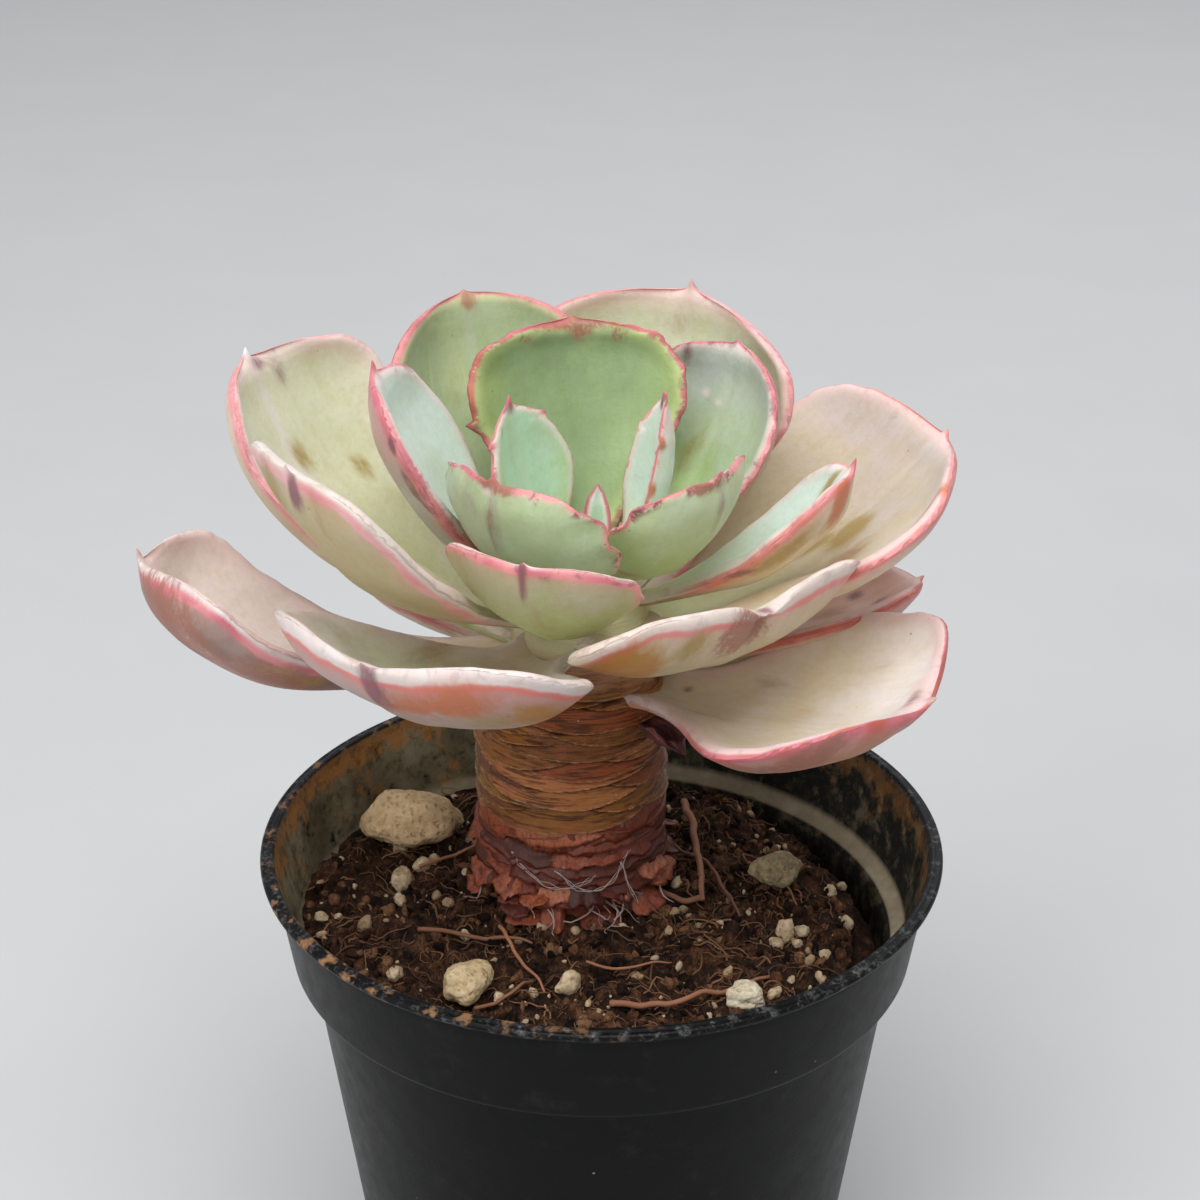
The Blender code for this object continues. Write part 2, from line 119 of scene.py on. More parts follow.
LEAVES = {
    "leaf_outer_01": dict(
        az=189, z0=99.7, r0=12.6, L=49.5, W=32, phi0=-5, phi1=69, p=1.8, cup0=40, cup1=63, roll=3,
        base=0.28, wide=0.78),
    "leaf_outer_02": dict(
        az=237, z0=101.5, r0=8.8, L=41.2, W=44, phi0=-1, phi1=54, cup1=32, roll=2, base=0.26, wide=0.6,
        blunt=3, mucro=0.8),
    "leaf_outer_03": dict(
        az=333.5, z0=96, r0=12.6, L=37.8, W=43.4, phi0=-6, phi1=36, cup0=28, cup1=36, roll=2, bend=-6,
        base=0.28, wide=0.55, blunt=3.6),
    "leaf_outer_04": dict(
        az=309.5, z0=104.4, r0=8.2, L=31.6, W=42, phi0=10, phi1=57, cup0=22, cup1=18, roll=-2, base=0.3,
        wide=0.57, blunt=2.9, mucro=0.5, notch=2.2, barbs=((0.90, 1, 1.2),)),
    "leaf_outer_05": dict(
        az=15, z0=96.5, r0=11.8, L=37.5, W=27.5, phi0=-3, phi1=27, cup0=41, cup1=38, roll=-11, bend=6,
        base=0.4, wide=0.58, left=0.88, right=0.82, mucro=1.0),
    "leaf_outer_06": dict(
        az=17, z0=101.2, L=47.7, W=49.5, phi0=12, phi1=53, cup0=39, cup1=34, bend=-3, base=0.21,
        wide=0.71, blunt=2.6, right=0.97, mucro=1.0),
    "leaf_outer_07": dict(
        az=68.5, z0=101.8, L=50, W=49.5, phi0=16, phi1=91, cup0=48, cup1=44, roll=-11, bend=-3,
        base=0.19, wide=0.66, blunt=2.8),
    "leaf_outer_08": dict(
        az=118, z0=102.4, r0=8.4, L=46, W=36.4, phi0=32, phi1=82, cup0=51, cup1=50, base=0.2, wide=0.61,
        blunt=2.5, mucro=0.5),
    "leaf_outer_09": dict(
        az=159.5, z0=100.3, L=53.5, W=45.3, phi0=14, phi1=77.5, cup0=45, cup1=42, roll=1, bend=-1,
        base=0.22, wide=0.79, blunt=2.6, left=0.85, right=0.96, mucro=1.6),
    "leaf_outer_10": dict(
        az=219.5, z0=106.5, L=47.8, W=30.5, phi0=22, phi1=65.5, cup0=38, cup1=12, roll=-3, base=0.19,
        wide=0.79, blunt=2.6, left=0.92, right=1.06, mucro=0.8),
    "leaf_outer_11": dict(
        az=80, z0=95, r0=12.8, L=33, W=26, phi0=-6, phi1=40, cup0=40, cup1=48, base=0.34, mucro=1.0,
        rows=56, cols=32),
    "leaf_outer_12": dict(
        az=128, z0=95, r0=12.9, L=33, W=26, phi0=-6, phi1=40, cup0=40, cup1=48, base=0.34, mucro=1.0,
        rows=56, cols=32),
    "leaf_middle_01": dict(
        az=180, z0=107.3, r0=7, L=37, W=24, phi0=42, phi1=76, cup0=40, cup1=35, roll=-5, base=0.28,
        wide=0.66, blunt=2.6),
    "leaf_middle_02": dict(
        az=257, z0=108.6, r0=7.8, L=29, W=26.4, phi0=17, phi1=61.5, cup0=46, cup1=30, roll=-4, bend=-5,
        base=0.3, wide=0.75, edge=1.1, mucro=0.8, wave=0.3),
    "leaf_middle_03": dict(
        az=352, z0=107.5, r0=7, L=33.2, W=15.5, phi0=16.5, phi1=62.5, cup0=46, cup1=46, roll=2,
        base=0.26, wide=0.68, blunt=2.5),
    "leaf_middle_04": dict(
        az=96, z0=107, r0=6.8, L=34.8, W=31.5, phi0=50, phi1=88, cup1=42, base=0.2, wide=0.72, blunt=2.8,
        edge=0.9, mucro=0.3, barbs=((0.60, 1, 1.7), (0.985, 1, 0.8), (0.97, -1, 0.8)), wave=0.4, waves=3,
        ragged=0.35),
    "leaf_middle_05": dict(
        az=46, z0=106.1, r0=7.4, L=37, W=29.5, phi0=29.5, phi1=83.5, cup0=52, roll=-1.5, bend=1,
        base=0.22, wide=0.65, blunt=2.4, edge=1.1, mucro=0.8, ragged=0.25),
    "leaf_inner_01": dict(
        az=152, z0=109.4, r0=6, L=23, W=17, phi0=67.5, phi1=82.5, cup0=41, cup1=28, roll=-5, bend=-3,
        base=0.44, wide=0.58, blunt=1.85, thick=2.4, edge=0.8, mucro=1.6,
        barbs=((0.90, -1, 1.2), (0.86, 1, 1.0), (0.72, 1, 0.5), (0.6, 1, 0.5)), rows=76, cols=36),
    "leaf_inner_02": dict(
        az=20, z0=110, r0=5.4, L=24, W=10.5, phi0=74, phi1=86, cup0=60, cup1=70, base=0.5, wide=0.5,
        blunt=1.7, thick=2.2, edge=0.8, mucro=1.0, teeth=5, tooth=0.6, rows=72, cols=36),
    "leaf_inner_03": dict(
        az=238.5, z0=110.2, r0=5.2, L=28.8, W=29.5, phi0=26, phi1=83, cup0=46, cup1=41, roll=-9, bend=2,
        base=0.28, blunt=2.6, left=0.95, right=0.98, thick=2.8, edge=0.8, mucro=0.8, wave=0.4, teeth=7,
        tooth=0.4, ragged=0.2),
    "leaf_inner_04": dict(
        az=314.5, z0=111.8, r0=3.8, L=26, W=24.5, phi0=26, phi1=74.5, cup0=55, cup1=36, roll=1, bend=6,
        base=0.28, blunt=2.6, left=1.08, right=1.05, thick=2.8, edge=0.8, mucro=0.8, wave=0.3, teeth=7,
        tooth=0.4, ragged=0.2),
    "leaf_centre_01": dict(
        az=205, z0=112, r0=2.4, L=7.6, W=4.4, phi0=66, phi1=84, cup0=55, base=0.5, wide=0.5, blunt=1.8,
        thick=1.4, edge=0.7, mucro=0.8, rows=36, cols=20),
    "leaf_centre_02": dict(
        az=85, z0=112, r0=2.0, L=9.4, W=4.2, phi0=72, phi1=90, cup0=55, base=0.5, wide=0.5, blunt=1.8,
        thick=1.4, edge=0.7, mucro=0.8, rows=36, cols=20),
    "leaf_centre_03": dict(
        az=325, z0=112, r0=2.4, L=6.6, W=4, phi0=66, phi1=84, cup0=55, base=0.5, wide=0.5, blunt=1.8,
        thick=1.4, edge=0.7, mucro=0.8, rows=36, cols=20),
    "leaf_dry_01": dict(
        az=318, z0=93.4, r0=12.2, L=6.6, W=6.4, phi0=-4, phi1=-40, cup0=60, cup1=110, base=0.6, wide=0.5,
        thick=1.0, edge=0.5, mucro=0.5, ragged=0.8, crumple=1.7, rows=56, cols=36),
}

# How far a leaf goes on behind its root, how wide its margin rounds off over
# its edge, the share of its flesh above the sheet inside and at the rim, and
# how far apart the patterns of its two faces lie.
ROOT_REACH = 4.0
ROUNDING = 0.85
SHEET_ABOVE = 0.42
RIM_ABOVE = 0.78
FACES_APART = 20.0

# Colours, linear.
CREAM = (0.72, 0.61, 0.43)
BLUSH = (0.75, 0.64, 0.60)
PEARL = (0.78, 0.72, 0.69)
SHELL = (0.56, 0.47, 0.43)
STRAW = (0.66, 0.70, 0.40)
PALE_STRAW = (0.69, 0.71, 0.51)
SAGE = (0.38, 0.47, 0.26)
DEEP_GREEN = (0.20, 0.28, 0.13)
LEAF_GREEN = (0.31, 0.42, 0.20)
SPRING = (0.38, 0.54, 0.22)
MINT = (0.60, 0.70, 0.63)
BLUE_GREEN = (0.45, 0.66, 0.46)
LIME = (0.44, 0.54, 0.16)
GREY_GREEN = (0.42, 0.46, 0.41)
OLIVE_CREAM = (0.47, 0.39, 0.19)
DULL_CREAM = (0.58, 0.47, 0.32)
SOFT_GREEN = (0.46, 0.55, 0.29)
OLIVE_GREEN = (0.38, 0.35, 0.20)
OLIVE_BROWN = (0.40, 0.27, 0.10)
ROSE = (0.56, 0.34, 0.31)
SALMON = (0.66, 0.37, 0.28)
MAUVE = (0.44, 0.33, 0.32)
TERRACOTTA = (0.50, 0.31, 0.20)
RUSSET = (0.44, 0.16, 0.075)
DUSTY_BROWN = (0.24, 0.12, 0.085)
SAND_GREEN = (0.60, 0.60, 0.38)
SAND_CREAM = (0.60, 0.51, 0.33)
PINK = (0.58, 0.14, 0.18)
ROSY = (0.75, 0.27, 0.28)
CORAL = (0.72, 0.19, 0.16)
CRIMSON = (0.52, 0.10, 0.07)
PALE_PINK = (0.80, 0.41, 0.42)
BLOOM = (0.76, 0.78, 0.80)
WHITISH = (0.82, 0.77, 0.73)
LIME_RIM = (0.56, 0.62, 0.27)

MARK_COLOURS = {
    "orange": (0.52, 0.15, 0.055),
    "olive": (0.36, 0.24, 0.06),
    "amber": (0.44, 0.19, 0.03),
    "plum": (0.21, 0.07, 0.09),
    "tan": (0.40, 0.23, 0.12),
    "frost": (0.70, 0.60, 0.58),
    "scar": (0.32, 0.12, 0.08),
}

# How a leaf is coloured: root, middle and end of its upper and under face,
# the wash along its sides, its milky patches and veins, the width in mm and
# colour of its pale lip, its red line (colours, width in mm, how much of it
# reaches onto the upper face, how far in mm it drops below a pearly rim, how
# much of it is missing and is stained dark), the flush below the line and the
# wash above it in mm and their strengths, the pale crease along the middle,
# the powdery bloom and the spine at its tip.
LOOKS = {
    "outer": dict(
        upper=(STRAW, CREAM, BLUSH), under=(STRAW, CREAM, ROSE), side=BLUSH, milk=PEARL, veins=0.22,
        rim=2.6, lip=WHITISH, red=(ROSY, CORAL), line=0.8, above=0.3, drop=0.0, gaps=0.0, stain=0.2,
        flush=4.0, glow=0.6, wash=4.5, warmth=0.5, crease=0.15, bloom=0.10, spine=ROSE),
    "middle": dict(
        upper=(STRAW, SAGE, GREY_GREEN), under=(LIME, OLIVE_GREEN, OLIVE_GREEN), side=STRAW, milk=MINT,
        veins=0.26, rim=2.0, lip=PEARL, red=(PINK, CORAL), line=0.75, above=0.4, drop=0.0, gaps=0.28,
        stain=0.5, flush=2.2, glow=0.4, wash=3.0, warmth=0.25, crease=0.1, bloom=0.10, spine=PINK),
    "inner": dict(
        upper=(LIME, BLUE_GREEN, BLUE_GREEN), under=(LIME, SPRING, SAGE), side=LIME, milk=MINT,
        veins=0.26, rim=1.4, lip=LIME_RIM, red=(PINK, ROSY), line=0.5, above=0.6, drop=0.0, gaps=0.38,
        stain=1.0, flush=1.2, glow=0.3, wash=1.2, warmth=0.3, crease=0.1, bloom=0.12, spine=PINK),
    "centre": dict(
        upper=(LIME, BLUE_GREEN, MINT), under=(LIME, BLUE_GREEN, BLUE_GREEN), side=STRAW, milk=MINT,
        veins=0.2, rim=0.8, lip=PEARL, red=(PINK, PINK), line=0.3, above=0.7, drop=0.0, gaps=0.3,
        stain=0.0, flush=0.5, glow=0.3, wash=0.6, warmth=0.3, crease=0.0, bloom=0.1, spine=PINK),
}

LEAF_LOOKS = {
    "leaf_outer_01": dict(
        upper=(CREAM, BLUSH, BLUSH), under=(DUSTY_BROWN, DUSTY_BROWN, DUSTY_BROWN), milk=SHELL,
        lip=PEARL, red=(ROSY, PINK), line=0.75, above=0.03, drop=1.2, flush=2.4, glow=0.4, warmth=0.35),
    "leaf_outer_02": dict(
        upper=(CREAM, PALE_STRAW, PEARL), under=(OLIVE_CREAM, TERRACOTTA, MAUVE), side=PEARL, milk=MAUVE,
        rim=4.0, lip=PEARL, red=(CORAL, CORAL), line=0.7, above=0.03, drop=2.2, flush=5.0, warmth=0.15),
    "leaf_outer_03": dict(
        upper=(DULL_CREAM, CREAM, PEARL), under=(RUSSET, RUSSET, RUSSET), veins=0.3, red=(PINK, CRIMSON),
        line=0.7, flush=4.5, glow=0.9),
    "leaf_outer_04": dict(
        upper=(CREAM, CREAM, PEARL), under=(OLIVE_CREAM, OLIVE_CREAM, DULL_CREAM), side=CREAM,
        milk=DULL_CREAM, lip=BLUSH, line=0.7, above=0.03, drop=1.9, glow=0.3, warmth=0.15),
    "leaf_outer_05": dict(
        upper=(CREAM, SALMON, SALMON), milk=BLUSH, red=(CRIMSON, CORAL), line=0.7, wash=6.0),
    "leaf_outer_06": dict(
        upper=(STRAW, SAND_CREAM, SHELL), milk=SAND_CREAM, above=0.35, wash=3.0, warmth=0.45),
    "leaf_outer_07": dict(
        upper=(STRAW, STRAW, PALE_STRAW), under=(STRAW, CREAM, BLUSH), side=PALE_STRAW, milk=STRAW,
        lip=BLUSH, red=(ROSY, PALE_PINK), line=0.9, above=0.35, wash=5.0),
    "leaf_outer_08": dict(
        upper=(LIME, SAGE, SAGE), under=(LIME, SAGE, CREAM), side=SAGE, milk=STRAW, veins=0.26, rim=2.0,
        lip=LIME_RIM, red=(PINK, ROSY), line=1.1, above=0.5, wash=1.8, warmth=0.35),
    "leaf_outer_09": dict(
        upper=(STRAW, SAND_GREEN, PALE_STRAW), under=(LIME, OLIVE_CREAM, CREAM), red=(ROSY, PALE_PINK),
        line=0.9, above=0.35, wash=4.0, warmth=0.4, crease=0.6, spine=WHITISH),
    "leaf_outer_10": dict(
        upper=(STRAW, CREAM, MINT), under=(OLIVE_BROWN, OLIVE_CREAM, OLIVE_CREAM), side=OLIVE_CREAM,
        milk=OLIVE_CREAM, lip=PEARL, red=(PALE_PINK, ROSY), line=0.9, above=0.03, drop=1.2, glow=0.4,
        warmth=0.2),
    "leaf_middle_01": dict(
        upper=(LIME, MINT, MINT), under=(LIME, GREY_GREEN, ROSE), side=MINT, lip=WHITISH,
        red=(PINK, ROSY), line=1.0, gaps=0.34, flush=3.0, glow=0.7, warmth=0.4),
    "leaf_middle_02": dict(
        upper=(STRAW, CREAM, PEARL), under=(LIME, LIME, OLIVE_GREEN), side=OLIVE_CREAM, milk=SAGE,
        lip=WHITISH, red=(ROSY, PINK), line=0.5, above=0.1, drop=0.35, gaps=0.1),
    "leaf_middle_03": dict(
        upper=(STRAW, MINT, MINT), under=(OLIVE_CREAM, CREAM, CREAM), side=MINT, red=(ROSY, CORAL),
        line=0.6, drop=0.3, gaps=0.0, stain=0.25, flush=3.2, glow=0.6),
    "leaf_middle_04": dict(
        upper=(LEAF_GREEN, LEAF_GREEN, DEEP_GREEN), side=LIME, milk=LEAF_GREEN, rim=2.6, lip=LIME_RIM,
        red=(CRIMSON, PINK), line=0.5, above=1.0, gaps=0.36, stain=0.4, wash=1.0, warmth=0.1, crease=0.0,
        bloom=0.03),
    "leaf_middle_05": dict(
        upper=(LIME, SPRING, GREY_GREEN), side=GREY_GREEN, milk=GREY_GREEN, lip=BLUSH, red=(PINK, ROSY),
        line=0.6, above=0.5, gaps=0.34, wash=1.2, warmth=0.4),
    "leaf_inner_01": dict(
        lip=PEARL, gaps=0.50, stain=0.0),
    "leaf_inner_02": dict(
        upper=(STRAW, MINT, MINT), under=(STRAW, MINT, BLUSH), side=MINT, lip=PEARL, gaps=0.52,
        stain=0.0),
    "leaf_inner_03": dict(
        under=(SPRING, LEAF_GREEN, SAGE), side=SPRING),
    "leaf_inner_04": dict(
        under=(SPRING, SPRING, SOFT_GREEN), side=SAGE),
}

# Marks that single leaves carry, and one patch of painted shade: kind, face (1 upper, 0 under), place
# along and across the leaf, half length and half width in mm, strength.
MARKS = {
    "leaf_outer_01": (
        ("scar", 0, 0.84, 0.30, 8.0, 6.0, 1.2), ("frost", 0, 0.78, 0.50, 5.0, 1.2, 0.9),
        ("scar", 0, 0.62, 0.35, 9.0, 6.0, 1.2), ("olive", 0, 0.50, 0.66, 4.5, 1.4, 0.8),
        ("frost", 0, 0.66, 0.42, 4.5, 1.0, 0.9), ("tan", 0, 0.58, 0.75, 5.0, 2.0, 0.7),
        ("olive", 1, 0.35, 0.2, 7.0, 3.0, 0.3)),
    "leaf_outer_02": (
        ("plum", 0, 0.94, 0.04, 5.0, 1.5, 0.85), ("orange", 0, 0.86, 0.52, 4.5, 5.0, 0.75),
        ("olive", 0, 0.70, 0.45, 4.0, 4.5, 0.6), ("orange", 0, 0.86, 0.20, 3.5, 4.5, 0.75),
        # The olive patch on the upper face near the root is painted shade.
        ("amber", 0, 0.62, 0.70, 7.0, 3.0, 0.8), ("olive", 1, 0.30, -0.72, 6.0, 2.6, 0.45),
        ("tan", 0, 0.72, 0.02, 4.0, 3.0, 0.4)),
    "leaf_outer_03": (
        ("plum", 1, 0.61, 0.27, 2.0, 0.7, 0.6), ("plum", 1, 0.07, 0.27, 0.8, 0.8, 0.8),
        ("tan", 1, 0.33, 0.42, 3.0, 1.4, 0.45), ("tan", 1, 0.50, 0.04, 3.0, 1.1, 0.4),
        ("scar", 0, 0.80, -0.80, 12.0, 3.0, 0.9), ("tan", 1, 0.22, -0.35, 5.0, 0.8, 0.4),
        ("tan", 1, 0.72, 0.55, 2.6, 1.0, 0.35), ("plum", 1, 0.95, 0.05, 1.2, 3.0, 0.5)),
    "leaf_outer_04": (
        ("amber", 0, 0.52, -0.72, 9.0, 3.6, 1.6), ("orange", 0, 0.66, -0.84, 6.0, 1.6, 1.0),
        ("scar", 0, 0.86, -0.12, 4.2, 3.0, 1.8), ("olive", 0, 0.82, -0.48, 4.0, 2.4, 0.7),
        ("plum", 0, 0.93, -0.05, 2.6, 1.2, 0.9), ("plum", 1, 0.98, 0.0, 1.6, 1.2, 0.7)),
    "leaf_outer_05": (
        ("plum", 1, 0.78, 0.27, 1.6, 1.2, 0.7), ("plum", 1, 0.83, -0.19, 1.5, 1.2, 0.6),
        ("plum", 1, 0.70, -0.75, 6.0, 0.8, 0.7), ("tan", 1, 0.66, 0.05, 3.0, 2.0, 0.5)),
    "leaf_outer_06": (
        ("olive", 1, 0.62, -0.12, 4.0, 3.0, 1.0), ("olive", 1, 0.53, 0.04, 4.0, 2.0, 0.9),
        ("tan", 1, 0.57, -0.42, 5.0, 3.0, 0.65), ("plum", 1, 0.95, 0.56, 3.0, 1.0, 0.3),
        ("orange", 1, 0.88, -0.90, 8.0, 1.4, 0.6), ("olive", 1, 0.45, 0.2, 6.0, 1.2, 0.4)),
    "leaf_outer_07": (
        ("tan", 1, 0.90, 0.1, 3.0, 5.0, 0.3), ("olive", 1, 0.60, -0.5, 5.0, 3.0, 0.3)),
    "leaf_outer_08": (
        ("tan", 1, 0.98, -0.04, 1.5, 1.6, 0.9), ("plum", 1, 0.975, 0.0, 0.8, 0.9, 0.9),
        ("olive", 1, 0.70, 0.27, 3.0, 0.9, 0.5), ("olive", 1, 0.60, 0.1, 2.4, 0.8, 0.4),
        ("olive", 1, 0.52, 0.35, 2.0, 1.2, 0.5)),
    "leaf_outer_09": (
        ("plum", 1, 0.94, -0.25, 3.6, 1.5, 0.45), ("olive", 1, 0.72, -0.04, 3.0, 1.6, 0.7),
        ("olive", 1, 0.60, -0.49, 2.6, 1.4, 0.7), ("olive", 1, 0.66, -0.2, 5.0, 1.0, 0.4),
        ("plum", 1, 0.98, -0.1, 1.2, 1.6, 0.6), ("olive", 0, 0.70, 0.5, 8.0, 5.0, 0.5)),
    "leaf_outer_10": (
        ("plum", 0, 0.95, 0.10, 2.4, 1.2, 0.95), ("olive", 0, 0.90, -0.40, 4.0, 2.5, 0.7),
        ("olive", 0, 0.6, 0.5, 9.0, 2.5, 0.35), ("tan", 0, 0.9, 0.35, 5.0, 1.2, 0.5)),
    "leaf_middle_01": (
        ("plum", 0, 0.84, 0.93, 1.3, 0.6, 1.0), ("plum", 0, 0.69, 0.86, 2.6, 0.8, 1.0),
        ("tan", 0, 0.69, 0.86, 1.0, 0.5, 1.0), ("plum", 0, 0.60, 0.90, 1.6, 0.5, 0.7)),
    "leaf_middle_02": (
        ("plum", 0, 0.96, 0.0, 3.0, 0.6, 0.75), ("olive", 0, 0.66, 0.1, 8.0, 6.0, 0.3),
        ("tan", 0, 0.80, 0.1, 6.0, 0.5, 0.35), ("olive", 0, 0.75, -0.85, 1.5, 1.0, 0.5)),
    "leaf_middle_03": (
        ("olive", 1, 0.90, 0.30, 3.0, 0.9, 0.8), ("orange", 0, 0.92, -0.5, 4.5, 1.6, 0.8),
        ("olive", 0, 0.62, -0.7, 9.0, 2.0, 0.6), ("plum", 0, 0.45, -0.92, 3.5, 0.7, 0.7)),
    "leaf_middle_04": (
        ("scar", 1, 1.0, -0.02, 1.3, 6.5, 1.0), ("scar", 1, 0.99, -0.12, 2.6, 2.2, 0.9),
        ("orange", 1, 0.99, 0.30, 0.9, 2.4, 0.8), ("scar", 1, 0.95, -0.55, 1.6, 1.2, 0.9),
        ("scar", 1, 0.95, 0.62, 1.0, 1.4, 0.8), ("tan", 1, 0.18, -0.2, 4.0, 3.0, 0.5),
        ("plum", 1, 0.55, 0.2, 0.8, 0.7, 0.5), ("olive", 1, 0.30, 0.3, 4.0, 2.0, 0.4)),
    "leaf_middle_05": (
        ("plum", 1, 0.93, 0.72, 3.0, 0.9, 0.55), ("olive", 1, 0.57, 0.19, 4.0, 1.4, 0.55),
        ("olive", 1, 0.63, 0.10, 3.0, 1.0, 0.45), ("plum", 1, 0.45, -0.85, 5.0, 1.0, 0.6),
        ("frost", 1, 0.80, 0.25, 0.8, 0.8, 0.7), ("frost", 1, 0.78, 0.05, 0.7, 0.7, 0.7)),
    "leaf_inner_01": (
        ("plum", 1, 0.99, 0.0, 0.9, 1.5, 0.6), ("plum", 1, 0.90, 0.7, 1.2, 0.5, 0.4)),
    "leaf_inner_02": (
        ("plum", 1, 0.98, 0.0, 1.6, 0.8, 0.85), ("orange", 0, 0.8, -0.9, 1.0, 0.6, 0.8),
        ("orange", 0, 0.55, -0.95, 1.0, 0.6, 0.8), ("orange", 0, 0.35, -0.95, 0.8, 0.6, 0.8)),
    "leaf_inner_03": (
        ("scar", 0, 1.0, 0.0, 1.0, 2.6, 1.0), ("frost", 0, 0.97, -0.1, 0.7, 1.6, 0.5),
        ("plum", 0, 0.84, 0.02, 5.5, 1.0, 0.5), ("plum", 0, 0.88, -0.34, 4.0, 2.4, 0.32),
        ("olive", 0, 0.5, 0.9, 6.0, 1.5, 0.2)),
    "leaf_inner_04": (
        ("scar", 0, 0.985, -0.55, 1.0, 3.0, 1.0), ("plum", 0, 0.88, 0.0, 4.5, 0.9, 0.45),
        ("tan", 0, 0.30, -0.6, 2.0, 1.5, 0.7)),
}


def smooth(value, low, high):
    k = np.clip((value - low) / (high - low), 0.0, 1.0)
    return k * k * (3.0 - 2.0 * k)


def xyz(x, y, z):
    """Points from coordinates that are arrays, or one number for all."""
    return np.stack(np.broadcast_arrays(x, y, z), axis=-1)


def around(radius, azimuth, z):
    """Points at distances from the Z axis, azimuths in radians and heights."""
    return xyz(radius * np.cos(azimuth), radius * np.sin(azimuth), z)


def grain(points, size, seed=0.0):
    """Smooth noise from -1 to 1 at points in mm, with features of that size."""
    shift = Vector((17.3 * seed, 5.1 * seed, 9.7 * seed))
    scale = 1.0 / size
    return np.array([noise.noise(Vector(p) * scale + shift) for p in points])


def wobble(points, size, seeds):
    """Smooth noise in three directions, with a seed for each."""
    return np.stack([grain(points, size, seed) for seed in seeds], axis=-1)


def turned(points, angle):
    """Points turned about Z by an angle in degrees."""
    c, s = math.cos(math.radians(angle)), math.sin(math.radians(angle))
    x, y, z = points.T
    return xyz(x * c - y * s, x * s + y * c, z)


def stem_axis(z):
    lean = (np.maximum(z, LEAN_START) - LEAN_START) / (LEAN_END - LEAN_START)
    return STEM_AXIS_X + LEAN_LENGTH * lean, STEM_AXIS_Y


def wall_inside(z):
    return POT_BASE_RADIUS + POT_TAPER * z - POT_WALL


def grid_faces(rows, cols, wrap=False, start=0, flip=False):
    """Quads of a grid of points laid out row after row."""
    row = np.arange(rows - 1)[:, None] * cols
    col = np.arange(cols if wrap else cols - 1)[None, :]
    after = (col + 1) % cols
    quads = np.stack([row + col, row + after, row + cols + after, row + cols + col], axis=-1)
    quads = quads.reshape(-1, 4) + start
    return quads[:, ::-1] if flip else quads


def add_values(mesh, values):
    for name, data in (values or {}).items():
        data = np.asarray(data, np.float32)
        if data.ndim == 2:
            layer = mesh.attributes.new(name, "FLOAT_VECTOR", "POINT")
            layer.data.foreach_set("vector", data.ravel())
        else:
            layer = mesh.attributes.new(name, "FLOAT", "POINT")
            layer.data.foreach_set("value", data)


def clean_mesh(name, points, faces, values=None, weld=0.0):
    """A mesh from points in mm and faces, which are made to point out."""
    mesh = bpy.data.meshes.new(name)
    mesh.from_pydata((np.asarray(points, float) * MM).tolist(), [], [list(f) for f in faces])
    add_values(mesh, values)
    bm = bmesh.new()
    bm.from_mesh(mesh)
    if weld:
        bmesh.ops.remove_doubles(bm, verts=bm.verts, dist=weld * MM)
    bmesh.ops.recalc_face_normals(bm, faces=bm.faces)
    bm.to_mesh(mesh)
    bm.free()
    return mesh


def add_object(name, data):
    obj = bpy.data.objects.new(name, data)
    bpy.context.scene.collection.objects.link(obj)
    return obj


def finished(obj, material, nodes=()):
    """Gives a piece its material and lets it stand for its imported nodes."""
    obj.data.materials.clear()
    obj.data.materials.append(material)
    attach(obj, BODY)
    if nodes:
        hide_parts(*nodes)
    return obj


def piece(name, points, faces, material, nodes=(), values=None, weld=0.0):
    """A smooth piece from points in mm and faces."""
    mesh = clean_mesh(name, points, faces, values, weld)
    mesh.shade_smooth()
    return finished(add_object(name, mesh), material, nodes)


def joined(name, bodies, material):
    """One piece from many small bodies, each given by points, faces and tint."""
    points, faces, tints, start = [], [], [], 0
    for body, body_faces, tint in bodies:
        points.append(body)
        faces.extend([[i + start for i in face] for face in body_faces])
        tints.append(np.full(len(body), tint))
        start += len(body)
    values = {"tint": np.concatenate(tints)}
    return piece(name, np.concatenate(points), faces, material, values=values)


class Value:
    """A node's output. Signs between values make the nodes that work them out."""

    def __init__(self, shader, socket):
        self.shader = shader
        self.socket = socket

    def __add__(self, other):
        return self.shader.math("ADD", self, other)

    def __radd__(self, other):
        return self.shader.math("ADD", other, self)

    def __sub__(self, other):
        return self.shader.math("SUBTRACT", self, other)

    def __rsub__(self, other):
        return self.shader.math("SUBTRACT", other, self)

    def __mul__(self, other):
        return self.shader.math("MULTIPLY", self, other)

    def __abs__(self):
        return self.shader.math("ABSOLUTE", self)

    def clamped(self):
        self.socket.node.use_clamp = True
        return self


